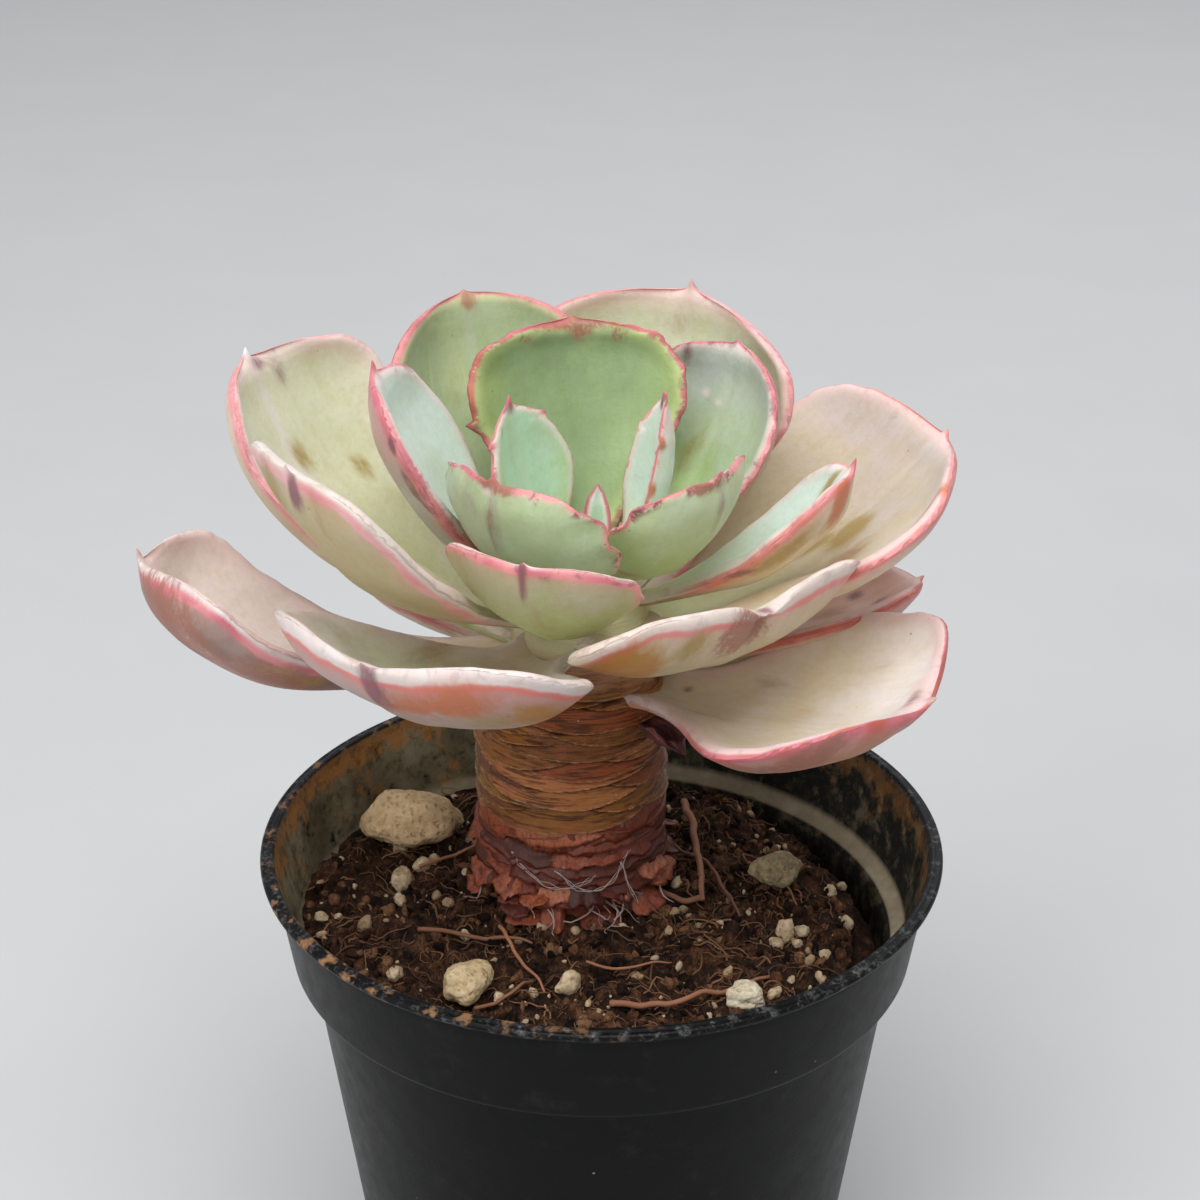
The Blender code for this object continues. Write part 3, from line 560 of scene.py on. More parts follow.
class Shader:
    """A material put together node by node, from values, numbers and colours."""

    def __init__(self, name):
        self.material = bpy.data.materials.new(name)
        self.material.use_nodes = True
        self.tree = self.material.node_tree
        self.surface = self.tree.nodes["Principled BSDF"]

    def put(self, socket, value):
        if isinstance(value, Value):
            self.tree.links.new(value.socket, socket)
        elif isinstance(value, tuple) and len(value) == 3 and socket.type == "RGBA":
            socket.default_value = (*value, 1.0)
        else:
            socket.default_value = value

    def set(self, **values):
        for name, value in values.items():
            self.put(self.surface.inputs[name.replace("_", " ").title().replace("Ior", "IOR")], value)

    def add(self, kind, inputs, output=0, **options):
        """One output of a new node, after its inputs and options are set."""
        node = self.tree.nodes.new("ShaderNode" + kind)
        for name, value in options.items():
            setattr(node, name, value)
        for key, value in inputs.items():
            self.put(node.inputs[key], value)
        return Value(self, node.outputs[output])

    def attribute(self, name, output="Fac"):
        return self.add("Attribute", {}, output, attribute_name=name)

    def position(self):
        """The surface point in mm."""
        return self.scaled(self.add("NewGeometry", {}, "Position"), (1000.0, 1000.0, 1000.0))

    def scaled(self, vector, factors):
        return self.add("VectorMath", {0: vector, 1: factors}, operation="MULTIPLY")

    def split(self, vector):
        first = self.add("SeparateXYZ", {0: vector})
        return [Value(self, socket) for socket in first.socket.node.outputs]

    def noise(self, vector, size, detail=3.0, rough=0.55, distortion=0.0):
        """Noise from 0 to 1 whose features have that size."""
        inputs = {"Vector": vector, "Scale": 1.0 / size, "Detail": detail, "Roughness": rough,
                  "Distortion": distortion}
        return self.add("TexNoise", inputs, "Fac")

    def cells(self, vector, size):
        """Distance to the nearest cell point, and a random colour per cell."""
        distance = self.add("TexVoronoi", {"Vector": vector, "Scale": 1.0 / size}, "Distance")
        return distance, Value(self, distance.socket.node.outputs["Color"])

    def dots(self, vector, size, spread, least, middle, few, many):
        """1 on sparse round dots of several sizes."""
        reach, pick = self.cells(vector, size)
        chosen, large, _ = self.split(pick)
        return self.step(reach, large * spread + least, middle) * self.step(chosen, few, many)

    def math(self, operation, a, b=0.0):
        return self.add("Math", {0: a, 1: b}, operation=operation)

    def step(self, value, low, high):
        """0 below low, 1 above high, smooth between; high may be the lower."""
        return self.add("MapRange", {"Value": value, "From Min": low, "From Max": high}, "Result",
                        interpolation_type="SMOOTHSTEP")

    def mix(self, factor, a, b, blend="MIX"):
        return self.add("Mix", {0: factor, 6: a, 7: b}, 2, data_type="RGBA", blend_type=blend)

    def tinted(self, factor, colour, by):
        """A colour multiplied by another where the factor is 1."""
        return self.mix(factor, colour, self.mix(1.0, colour, by, "MULTIPLY"))

    def ramp(self, value, stops):
        shown = self.add("ValToRGB", {0: value})
        elements = shown.socket.node.color_ramp.elements
        while len(elements) < len(stops):
            elements.new(0.5)
        for element, (place, colour) in zip(elements, stops):
            element.position = place
            element.color = (*colour, 1.0)
        return shown

    def bump(self, height, depth, normal=None):
        """A bump of that depth in mm."""
        inputs = {"Strength": 1.0, "Distance": depth * MM, "Height": height}
        if normal is not None:
            inputs["Normal"] = normal
        return self.add("Bump", inputs)


# Leaf shapes

def width_share(spec, t):
    """Half width along the leaf over the full half width."""
    rise = np.clip(t / spec["wide"], 0.0, 1.0)
    low = spec["base"] + (1.0 - spec["base"]) * (0.5 - 0.5 * np.cos(math.pi * rise))
    fall = np.clip((t - spec["wide"]) / (1.0 - spec["wide"]), 0.0, 1.0)
    high = np.maximum(0.0, 1.0 - fall ** spec["blunt"]) ** (1.0 / spec["blunt"])
    return np.where(t < spec["wide"], low, high)


def half_width(spec, t, v):
    share = width_share(spec, t)
    side = np.where(v > 0.0, spec["left"], spec["right"])
    return share * spec["W"] * 0.5 * (1.0 + (side - 1.0) * share)


def midrib(spec, t):
    """Points of the midrib and its forward, side and normal directions."""
    steps = np.linspace(0.0, 1.0, 400)

    def heading(k):
        climb = np.radians(spec["phi0"] + (spec["phi1"] - spec["phi0"]) * k ** spec["p"])
        swing = np.radians(spec["bend"] * k)
        forward = xyz(np.cos(climb) * np.cos(swing), np.cos(climb) * np.sin(swing), np.sin(climb))
        return forward, swing

    along, _ = heading(steps)
    length = 0.5 * (along[1:] + along[:-1]) * spec["L"] / (len(steps) - 1)
    table = np.concatenate([np.zeros((1, 3)), np.cumsum(length, axis=0)])
    inside = np.clip(t, 0.0, 1.0)
    points = np.stack([np.interp(inside, steps, table[:, i]) for i in range(3)], axis=-1)
    forward, swing = heading(inside)
    points += forward * ((t - inside) * spec["L"])[:, None]
    side = xyz(-np.sin(swing), np.cos(swing), 0.0)
    normal = np.cross(forward, side)
    roll = math.radians(spec["roll"])
    side, normal = (side * math.cos(roll) + normal * math.sin(roll),
                    normal * math.cos(roll) - side * math.sin(roll))
    return points, forward, side, normal


def margin_distance(spec, x, y):
    """Distance in mm from each point of the flat leaf to its outline."""
    t = 1.0 - (1.0 - np.linspace(0.0, 1.0, 240)) ** 2
    left = np.stack([t * spec["L"], half_width(spec, t, np.ones_like(t))], axis=-1)
    right = np.stack([t * spec["L"], -half_width(spec, t, -np.ones_like(t))], axis=-1)
    outline = np.concatenate([left, right[::-1]])
    nearest = np.full(x.shape, 1e9)
    for start, end in zip(outline[:-1], outline[1:]):
        run = end - start
        k = (x - start[0]) * run[0] + (y - start[1]) * run[1]
        k = np.clip(k / max(run @ run, 1e-12), 0.0, 1.0)
        gap = np.hypot(x - start[0] - k * run[0], y - start[1] - k * run[1])
        nearest = np.minimum(nearest, gap)
    return nearest


def leaf_flesh(spec, t, v, margin):
    """Thickness in mm: full in the middle, rounded off at the margin."""
    full = spec["thick"] * (1.0 - 0.55 * np.clip((t - 0.6) / 0.4, 0.0, 1.0) ** 1.5)
    full = full * np.minimum(1.0, 0.25 + width_share(spec, t))
    edge = np.minimum(spec["edge"], full)
    flesh = np.maximum(edge + (full - edge) * (1.0 - np.abs(v) ** 2.2), 0.6)
    round_off = ROUNDING * spec["edge"]
    return flesh * np.sqrt(1.0 - (1.0 - np.clip(margin / round_off, 0.0, 1.0)) ** 2)


def rows_along(spec):
    """Places along the leaf, closer together where its end rounds off."""
    low_count = spec["rows"] * 9 // 20
    low = np.linspace(-ROOT_REACH / spec["L"], spec["wide"], low_count, endpoint=False)
    k = np.linspace(0.0, 1.0, spec["rows"] + 1 - low_count)
    turn = 0.5 * math.pi * (1.0 - (1.0 - k) ** 1.9)
    high = spec["wide"] + (1.0 - spec["wide"]) * np.sin(turn) ** (2.0 / spec["blunt"])
    return np.concatenate([low, high])


def leaf_shape(spec, seed):
    """Upper and under points in the leaf's frame, with the values that its
    material reads at each point."""
    t_row = rows_along(spec)
    v_col = np.sin(0.5 * math.pi * np.linspace(-1.0, 1.0, spec["cols"] + 1))
    t, v = np.meshgrid(t_row, v_col, indexing="ij")
    half = half_width(spec, t, v)
    x, y = t * spec["L"], v * half
    margin = margin_distance(spec, x, y)
    margin[:, 0] = 0.0
    margin[:, -1] = 0.0
    margin[-1] = 0.0
    share = width_share(spec, t)
    a = np.abs(v)
    cup = np.radians(spec["cup0"] + (spec["cup1"] - spec["cup0"]) * np.clip(t, 0.0, 1.0))
    lateral = half * np.sin(cup * a) / cup
    height = half * (1.0 - np.cos(cup * a)) / cup

    # Waves, teeth and small irregularities of the margin.
    fade = np.clip(t / 0.3, 0.0, 1.0) * share
    torn = spec["ragged"] * fade * (0.35 + 0.65 * smooth(t, 0.5, 0.9))
    phase = np.where(v > 0.0, 0.9, 0.0)
    height = height + spec["wave"] * np.sin(math.tau * spec["waves"] * t + phase) * a ** 3 * fade
    if spec["teeth"]:
        pulse = np.maximum(0.0, np.cos(math.tau * (spec["teeth"] * t + phase))) ** 6
        lateral = lateral + 1.2 * spec["tooth"] * pulse * smooth(t, 0.6, 0.8) * np.exp(-margin / 0.7)
    barbed = np.zeros_like(t)
    for at, at_side, size in spec["barbs"]:
        near = np.exp(-((x - at * spec["L"]) / 0.55) ** 2 - margin / 0.6) * (v * at_side > 0.0)
        lateral = lateral + size * near
        barbed = np.maximum(barbed, near)
    flat = xyz(x, y, 0.0).reshape(-1, 3)
    rough = grain(flat, 3.0, seed).reshape(x.shape)
    slow = grain(flat, 11.0, seed + 0.5).reshape(x.shape)
    lateral = lateral + 2.0 * rough * torn * np.exp(-margin / 1.5)
    nicks = grain(flat, 1.1, seed + 0.8).reshape(x.shape)
    lateral = lateral + 1.1 * nicks * torn * np.exp(-margin / 0.6)
    height = height - 0.3 * np.exp(-np.abs(y) / 1.2) * smooth(t, 0.2, 0.5) * smooth(margin, 0.0, 6.0)
    height = height + (0.55 * slow + 2.0 * spec["ragged"] * rough * np.exp(-margin / 3.0)) * fade

    centre, forward, side, normal = midrib(spec, t_row)
    sign = np.sign(v)
    turn = cup * a
    out = (normal[:, None] * np.cos(turn)[..., None]
           - side[:, None] * (sign * np.sin(turn))[..., None])
    sheet = (centre[:, None] + side[:, None] * (sign * lateral)[..., None]
             + normal[:, None] * height[..., None])

    # The little hooked spine at the tip.
    tip_gap = np.hypot(x - spec["L"], y)
    spine = 0.9 * np.exp(-(tip_gap / 0.5) ** 1.4) + 0.15 * np.exp(-(tip_gap / 2.2) ** 2)
    push = spec["mucro"] * spine - spec["notch"] * np.exp(-(tip_gap / 3.0) ** 2)
    push = push + (1.6 * nicks + 1.2 * rough) * torn * smooth(t, 0.8, 1.0) * np.exp(-margin / 1.0)
    sheet = sheet + forward[:, None] * push[..., None] + normal[:, None] * (0.35 * push)[..., None]
    if spec["crumple"]:
        folds = wobble(sheet.reshape(-1, 3), 2.2, range(seed, seed + 3)).reshape(sheet.shape)
        sheet = sheet + spec["crumple"] * folds * np.clip(t, 0.0, 1.0)[..., None]

    flesh = leaf_flesh(spec, t, v, margin)
    keel = 0.30 * np.exp(-(y / 1.6) ** 2) * smooth(t, 0.55, 0.9) * np.clip(margin / 3.0, 0.0, 1.0)
    above = SHEET_ABOVE + (RIM_ABOVE - SHEET_ABOVE) * np.exp(-(margin / (2.6 * spec["edge"])) ** 2)
    upper = sheet + out * (above * flesh)[..., None]
    pinch = 1.1 * spec["notch"] * np.exp(-(y / 1.1) ** 2) * smooth(t, 0.6, 0.95)
    pinch = pinch * np.clip(margin / 2.0, 0.0, 1.0)
    under = sheet - out * ((1.0 - above) * flesh + keel - pinch)[..., None]
    spine = np.maximum(spine * np.clip(spec["mucro"] - 0.3, 0.0, 1.0), barbed)
    return upper, under, t, v, x, y, margin, spine


def leaf_world(spec, points):
    lean = (spec["z0"] - LEAN_START) / (LEAN_END - LEAN_START)
    outward = turned(points + (spec["r0"], 0.0, 0.0), spec["az"])
    return outward + (STEM_AXIS_X + LEAN_LENGTH * lean, STEM_AXIS_Y, spec["z0"])


def mark_values(name, x, y, face):
    """How strongly each kind of mark shows at each point of one face."""
    spec = {**LEAF_DEFAULTS, **LEAVES[name]}
    values = {kind: np.zeros(x.shape) for kind in MARK_COLOURS}
    for kind, mark_face, at, across, length, width, strength in MARKS.get(name, ()):
        if mark_face == face:
            x0 = at * spec["L"]
            y0 = across * float(half_width(spec, np.array(at), np.array(across)))
            fall = ((x - x0) / length) ** 2 + ((y - y0) / width) ** 2
            values[kind] = np.maximum(values[kind], strength * np.exp(-fall))
    return values


def make_leaf(name, spec, seed, material):
    spec = {**LEAF_DEFAULTS, **spec}
    upper, under, t, v, x, y, margin, spine = leaf_shape(spec, seed)
    rows, cols = t.shape
    count = rows * cols
    points = np.concatenate([upper.reshape(-1, 3), under.reshape(-1, 3)])
    faces = [grid_faces(rows, cols), grid_faces(rows, cols, start=count, flip=True)]
    first = np.arange(cols - 1)
    faces.append(np.stack([first + 1, first, first + count, first + count + 1], axis=-1))
    flat = xyz(x, y, 2.0 * FACES_APART * seed).reshape(-1, 3)
    values = {
        "flat": np.concatenate([flat, flat + (0.0, 0.0, FACES_APART)]),
        "place": np.tile(xyz(t, v, margin).reshape(-1, 3), (2, 1)),
        "under": np.repeat((0.0, 1.0), count),
        "spine": np.tile(np.clip(spine.ravel(), 0.0, 1.0), 2),
    }
    above_marks, under_marks = [mark_values(name, x, y, face) for face in (1, 0)]
    for kind in MARK_COLOURS:
        values[kind] = np.concatenate([above_marks[kind].ravel(), under_marks[kind].ravel()])
    return piece(name + "_fine", leaf_world(spec, points), np.concatenate(faces), material,
                 [name], values, weld=0.001)


def leaf_material(name, look):
    shader = Shader(name + "_skin")
    flat = shader.attribute("flat", "Vector")
    along, across, margin = shader.split(shader.attribute("place", "Vector"))
    under = shader.attribute("under")
    above = 1.0 - under
    slow = shader.noise(flat, 9.0, 4.0, 0.55)
    patchy = shader.noise(shader.scaled(flat, (0.6, 1.0, 1.0)), 4.5, 5.0, 0.55)
    fine = shader.noise(flat, 0.7, 5.0, 0.6)
    streak = shader.noise(shader.scaled(flat, (0.12, 1.0, 1.0)), 1.5, 4.0, 0.6)

    # Ground colour of both faces, from the root to the tip.
    drift = along + (slow - 0.5) * 0.5
    top = shader.ramp(drift, list(zip((0.08, 0.5, 0.88), look["upper"])))
    low = shader.ramp(drift, list(zip((0.08, 0.5, 0.88), look["under"])))
    skin = shader.mix(under, top, low)
    side = shader.step(abs(across), 0.45, 1.0)
    side = side * (above * 0.5)
    skin = shader.mix(side, skin, look["side"])
    cloud = shader.step(patchy, 0.45, 0.72) * 0.42
    skin = shader.tinted(cloud, skin, (0.86, 0.84, 0.62))
    milky = shader.step(slow, 0.52, 0.34) * 0.35
    skin = shader.mix(milky, skin, look["milk"])
    mottled = shader.step(shader.noise(flat, 1.1, 6.0, 0.7), 0.42, 0.62)
    skin = shader.tinted(mottled * 0.30, skin, (0.86, 0.80, 0.66))
    vein = shader.step(streak, 0.48, 0.74) * look["veins"]
    skin = shader.tinted(vein, skin, (0.80, 0.84, 0.72))
    pale = shader.step(streak, 0.42, 0.22) * look["veins"]
    skin = shader.mix(pale, skin, look["milk"])

    # The pale crease along the middle, and powdery bloom rubbed off in places.
    _, off_middle, _ = shader.split(flat)
    off_middle = off_middle + (slow - 0.5) * 3.0
    crease = shader.step(abs(off_middle), 1.3, 0.1) * look["crease"]
    skin = shader.mix(crease * above, skin, PEARL)
    rubbed = shader.step(shader.noise(flat, 4.5, 6.0, 0.65), 0.35, 0.7)
    skin = shader.mix(rubbed * look["bloom"], skin, BLOOM)

    # The margin: a pale lip above, a red line on the edge, a flush below it.
    uneven = slow * 0.9 + patchy
    red = shader.mix(shader.step(shader.noise(flat, 7.0, 2.0), 0.40, 0.62), *look["red"])
    lip = shader.step(margin, look["rim"], 0.4) * (above * 0.55)
    skin = shader.mix(lip, skin, look["lip"])
    wash = shader.step(margin, uneven * look["wash"], 0.2)
    wash = wash * (above * look["warmth"])
    skin = shader.mix(wash, skin, shader.mix(0.30, red, WHITISH))
    below = margin - under * uneven * look["drop"]
    rooted = shader.step(along, 0.10, 0.30)
    cushion = under * shader.step(below, 0.0, -0.25)
    pearly = shader.mix(shader.step(patchy, 0.35, 0.65), look["lip"], BLUSH)
    skin = shader.mix(cushion * 0.8, skin, pearly)
    flush = shader.step(below, uneven * look["flush"], 0.3)
    flush = flush * (under * look["glow"])
    flush = flush * shader.step(below, -0.3, 0.1)
    flush = flush * rooted
    skin = shader.mix(flush, skin, shader.mix(0.35, red, skin))
    dots = shader.step(shader.noise(flat, 1.3, 3.0, 0.6), look["gaps"], look["gaps"] + 0.12)
    reach = under * (1.0 - look["above"]) + look["above"]
    width = uneven * reach * look["line"]
    width = width * (dots * 0.75 + 0.25)
    off_line = abs(below)
    line = shader.step(off_line, width * 1.4, width * 0.35)
    line = line * (rooted * 0.9)
    line = line * shader.step(reach, 0.03, 0.10)
    skin = shader.mix(line, skin, red)
    stained = shader.step(shader.noise(flat, 2.4, 5.0, 0.65), 0.52, 0.62) * look["stain"]
    stained = stained * shader.step(margin, uneven * 1.6, 0.2)
    skin = shader.mix(stained, skin, MARK_COLOURS["plum"])

    # Marks placed one by one, with broken edges.
    grit = shader.noise(shader.scaled(flat, (0.4, 1.0, 1.0)), 1.2, 6.0, 0.7)
    broken = patchy - 0.5 + (grit - 0.5) * 1.6
    scratch = shader.noise(shader.scaled(flat, (0.75, 1.1, 1.0)), 0.7, 6.0, 0.72, 0.8)
    scratched = broken * 1.5 + (scratch - 0.56) * 2.6
    for kind, colour in MARK_COLOURS.items():
        strength = shader.attribute(kind)
        spread = strength + (scratched if kind == "scar" else broken) * strength
        shown = shader.step(spread, 0.10, 0.68) * 0.88
        skin = shader.mix(shown, skin, colour)

    skin = shader.mix(shader.step(shader.attribute("spine"), 0.25, 0.8), skin, look["spine"])

    # Sparse dark specks.
    speck = shader.dots(flat, 3.4, 0.07, 0.025, 0.0, 0.52, 0.54)
    skin = shader.mix(speck * 0.75, skin, (0.17, 0.09, 0.035))

    pores = shader.noise(flat, 0.28, 2.0, 0.5)
    normal = shader.bump(slow, 0.30)
    normal = shader.bump(streak, 0.05, normal)
    normal = shader.bump(fine, 0.05, normal)
    normal = shader.bump(pores, 0.02, normal)
    rough = rubbed * 0.16 + (0.38 + fine * 0.14)
    shader.set(base_color=skin, roughness=rough, normal=normal)
    shader.set(subsurface_weight=0.15, subsurface_scale=0.002, subsurface_radius=(1.0, 0.62, 0.40),
               sheen_weight=0.08, sheen_roughness=0.5)
    return shader.material


def dry_material():
    shader = Shader("leaf_dry_skin")
    flat = shader.attribute("flat", "Vector")
    folds = shader.noise(shader.scaled(flat, (0.35, 1.0, 1.0)), 0.8, 6.0, 0.65)
    skin = shader.ramp(folds, [(0.3, (0.03, 0.008, 0.01)), (0.55, (0.12, 0.03, 0.03)),
                               (0.8, (0.36, 0.17, 0.12))])
    shader.set(base_color=skin, roughness=0.6, normal=shader.bump(folds, 0.35))
    return shader.material


def make_leaves():
    for index, (name, spec) in enumerate(LEAVES.items()):
        kind = name.split("_")[1]
        if kind == "dry":
            make_leaf(name, spec, index, dry_material())
            continue
        look = {**LOOKS[kind], **LEAF_LOOKS.get(name, {})}
        make_leaf(name, spec, index, leaf_material(name, look))


# Pot

def arc(radius_at, height_at, radius, start, end, count):
    """Profile points on an arc, angles in degrees from straight outwards."""
    angles = [math.radians(start + (end - start) * i / (count - 1)) for i in range(count)]
    return [(radius_at + radius * math.cos(a), height_at + radius * math.sin(a)) for a in angles]


def between(start, end, count):
    """Evenly spaced profile points between two, without the last."""
    return [tuple(np.array(start) + (np.array(end) - np.array(start)) * i / count) for i in range(count)]


def pot_profile():
    top = POT_HEIGHT
    inside_top = (LIP_INSIDE_RADIUS - 0.1, top - 0.9)
    collar_in_foot = (COLLAR_FOOT_RADIUS - COLLAR_INSIDE, LEDGE_HEIGHT + 0.4)
    ledge_out = (COLLAR_FOOT_RADIUS - COLLAR_INSIDE - 0.5, LEDGE_HEIGHT)
    ledge_in = (wall_inside(LEDGE_HEIGHT) + 0.3, LEDGE_HEIGHT - 0.5)
    profile = between((0.0, POT_FLOOR), (wall_inside(POT_FLOOR) - 1.0, POT_FLOOR), 10)
    profile += arc(wall_inside(3.0) - 1.0, 3.0, 1.0, -90, 0, 5)
    profile += between((wall_inside(4.0), 4.0), (wall_inside(61.0), 61.0), 24)
    profile += between((wall_inside(61.0), 61.0), ledge_in, 3)
    profile += between(ledge_in, ledge_out, 3)
    profile += between(ledge_out, collar_in_foot, 2)
    profile += between(collar_in_foot, inside_top, 12)
    profile += arc(LIP_INSIDE_RADIUS + 0.45, top - 0.55, 0.55, 180, 60, 7)
    profile += [(LIP_INSIDE_RADIUS + 0.98, top - 0.22), (LIP_INSIDE_RADIUS + 1.1, top - 0.24)]
    profile += arc(LIP_RADIUS - 0.55, top - 0.72, 0.55, 80, -60, 8)
    profile += [(LIP_RADIUS - 0.5, top - 1.5), (COLLAR_TOP_RADIUS + 0.6, top - 1.75)]
    profile += arc(COLLAR_TOP_RADIUS + 0.6, top - 2.35, 0.6, 120, 180, 4)
    profile += between((COLLAR_TOP_RADIUS, top - 2.6), (COLLAR_FOOT_RADIUS + 0.05, STEP_HEIGHT + 1.2), 10)
    profile += arc(COLLAR_FOOT_RADIUS - 1.0, STEP_HEIGHT + 1.0, 1.0, 0, -70, 5)
    foot = wall_inside(STEP_HEIGHT - 0.6) + POT_WALL
    profile += [(foot + 0.5, STEP_HEIGHT - 0.1), (foot + 0.12, STEP_HEIGHT - 0.35)]
    profile += between((foot, STEP_HEIGHT - 0.8), (POT_BASE_RADIUS + 0.1, 0.9), 26)
    profile += arc(POT_BASE_RADIUS - 0.7, 0.8, 0.8, 0, -90, 6)
    profile += between((POT_BASE_RADIUS - 0.7, 0.0), (0.0, 0.0), 10)
    profile += [(0.0, 0.0)]
    return profile


def revolved(profile, steps):
    """Points and quads of a profile turned round the Z axis."""
    r, z = np.array(profile).T[:, :, None]
    angles = np.linspace(0.0, math.tau, steps, endpoint=False)
    return around(r, angles, z).reshape(-1, 3), grid_faces(len(profile), steps, wrap=True)


def drain_cutter(index):
    angle = math.tau * (index + DRAIN_TURN) / DRAIN_COUNT
    bpy.ops.mesh.primitive_cylinder_add(
        vertices=48, radius=DRAIN_RADIUS * MM, depth=3.0 * POT_FLOOR * MM,
        location=(DRAIN_CIRCLE * math.cos(angle) * MM, DRAIN_CIRCLE * math.sin(angle) * MM, 0.0))
    return bpy.context.object


def pot_material():
    shader = Shader("pot_plastic")
    at = shader.position()
    x, _, z = shader.split(at)
    inside = shader.attribute("inside")
    lip = shader.attribute("lip")
    ledge = shader.attribute("ledge")
    cloudy = shader.noise(at, 9.0, 5.0, 0.6)
    blotch = shader.noise(at, 3.0, 6.0, 0.65)
    fine = shader.noise(at, 0.6, 5.0, 0.6)
    plastic = shader.mix(cloudy * 0.6, (0.003, 0.003, 0.0035), (0.006, 0.0062, 0.0066))

    # Dust and specks of soil on the outside.
    dust = shader.step(shader.noise(at, 5.0, 8.0, 0.7), 0.55, 0.85) * 0.05
    plastic = shader.mix(dust, plastic, (0.30, 0.27, 0.23))
    speck = shader.dots(at, 4.5, 0.05, 0.02, 0.01, 0.62, 0.66)
    plastic = shader.mix(speck, plastic, (0.38, 0.28, 0.15))

    # Crusted mineral deposits inside, thick on the left and thin on the right; their extra spread and
    # paleness on the left is painted light, as the left of the inner wall is lit.
    left_light_and_rust = shader.step(x, 20.0, -30.0)
    crust_and_light = shader.step(blotch + left_light_and_rust * 0.20, 0.48, 0.66)
    crust_colour = shader.ramp(cloudy, [(0.3, (0.12, 0.10, 0.055)), (0.5, (0.26, 0.22, 0.13)),
                                        (0.7, (0.42, 0.37, 0.25))])
    wall = shader.mix(crust_and_light * (0.35 + left_light_and_rust * 0.5), (0.014, 0.014, 0.012), crust_colour)
    # Rust spots, more of them near the top, made stronger on the left as painted light, where the inner
    # wall is lit.
    high = shader.step(z, 68.0, 74.0)
    rust_and_light = shader.step(shader.noise(at, 4.0, 5.0, 0.65) + high * 0.20, 0.55, 0.72)
    rust_and_light = rust_and_light * (0.30 + left_light_and_rust * 0.55)
    wall = shader.mix(rust_and_light, wall, shader.mix(fine, (0.36, 0.13, 0.03), (0.62, 0.31, 0.10)))
    mottle = shader.step(shader.noise(at, 1.9, 7.0, 0.7), 0.48, 0.66)
    wall = shader.mix(mottle * 0.62, wall, (0.05, 0.045, 0.03))
    wall = shader.mix(ledge * 0.85, wall, shader.mix(blotch, (0.16, 0.13, 0.08), (0.52, 0.44, 0.31)))
    colour = shader.mix(inside, plastic, wall)

    # The scuffed lip.
    scuff = shader.step(shader.noise(at, 1.4, 8.0, 0.75), 0.50, 0.70)
    colour = shader.mix(scuff * lip * 0.5, colour, (0.20, 0.20, 0.20))
    edge_rust = lip * left_light_and_rust * shader.step(blotch, 0.52, 0.64)
    colour = shader.mix(edge_rust * 0.7, colour, (0.36, 0.19, 0.09))

    rough = 0.28 + shader.noise(at, 2.0, 6.0) * 0.20
    rough = (rough + inside * 0.4).clamped()
    normal = shader.bump(shader.noise(at, 14.0, 2.0), 0.25)
    normal = shader.bump(fine, 0.025, normal)
    normal = shader.bump(blotch * inside, 0.35, normal)
    shader.set(base_color=colour, roughness=rough, normal=normal, specular_ior_level=0.11)
    return shader.material


def make_pot():
    points, faces = revolved(pot_profile(), POT_STEPS)
    closed = add_object("pot_turned", clean_mesh("pot_turned", points, faces, weld=0.0001))
    cutters = [drain_cutter(i) for i in range(DRAIN_COUNT)]
    for cutter in cutters:
        hole = closed.modifiers.new("drain", "BOOLEAN")
        hole.object = cutter
        hole.operation = "DIFFERENCE"
        hole.solver = "EXACT"
    bpy.context.view_layer.update()
    graph = bpy.context.evaluated_depsgraph_get()
    final = bpy.data.meshes.new_from_object(closed.evaluated_get(graph))
    for extra in [closed, *cutters]:
        bpy.data.objects.remove(extra)

    # Where the surface is inside the pot, on its lip or on its ledge.
    co = np.zeros(len(final.vertices) * 3)
    final.vertices.foreach_get("co", co)
    x, y, z = (co.reshape(-1, 3) / MM).T
    slope = (LIP_INSIDE_RADIUS - COLLAR_FOOT_RADIUS + COLLAR_INSIDE) / (POT_HEIGHT - LEDGE_HEIGHT)
    collar_middle = COLLAR_FOOT_RADIUS - 0.4 * COLLAR_INSIDE + (z - LEDGE_HEIGHT) * slope
    in_wall = np.where(z > LEDGE_HEIGHT - 0.7, collar_middle, wall_inside(z) + 0.5 * POT_WALL)
    inside = ((np.hypot(x, y) < in_wall) & (z > 0.5)).astype(float)
    lip = smooth(z, POT_HEIGHT - 2.2, POT_HEIGHT - 1.2)
    ledge = ((np.abs(z - LEDGE_HEIGHT) < 0.75) & (inside > 0.5)).astype(float)
    inside = inside * (1.0 - smooth(z, POT_HEIGHT - 0.7, POT_HEIGHT - 0.2))
    add_values(final, {"inside": inside, "lip": lip, "ledge": ledge})
    final.set_sharp_from_angle(angle=math.radians(50.0))
    return finished(add_object("pot_shell", final), pot_material(), ["pot"])


# Soil

def soil_fullness(azimuth):
    """1 where the soil lies against the collar, 0 where it has shrunk away."""
    return 0.5 + 0.5 * np.cos(azimuth - math.radians(SOIL_FULL_AZIMUTH))


def soil_edge(azimuth):
    """Radius at which the soil's surface ends."""
    return SOIL_EDGE_RADIUS + SOIL_EDGE_SPREAD * soil_fullness(azimuth)


def soil_level(x, y):
    """Height of the soil before its crumbs."""
    full = soil_fullness(np.arctan2(y, x))
    slope = 1.3 * (np.hypot(x, y) / 30.0) ** 2 * (1.0 - full)
    return SOIL_TOP - slope + 0.45 * np.sin(0.55 * x + 1.0) * np.sin(0.47 * y + 0.4)


def soil_relief(x, y):
    """Clods and hollows on the soil."""
    flat = xyz(x, y, 0.0)
    relief = 0.9 * grain(flat, 9.0, 1.0) + 0.75 * grain(flat, 3.4, 2.0)
    relief += 0.55 * np.abs(grain(flat, 1.6, 3.0)) + 0.40 * grain(flat, 0.9, 4.0)
    return relief - 0.15


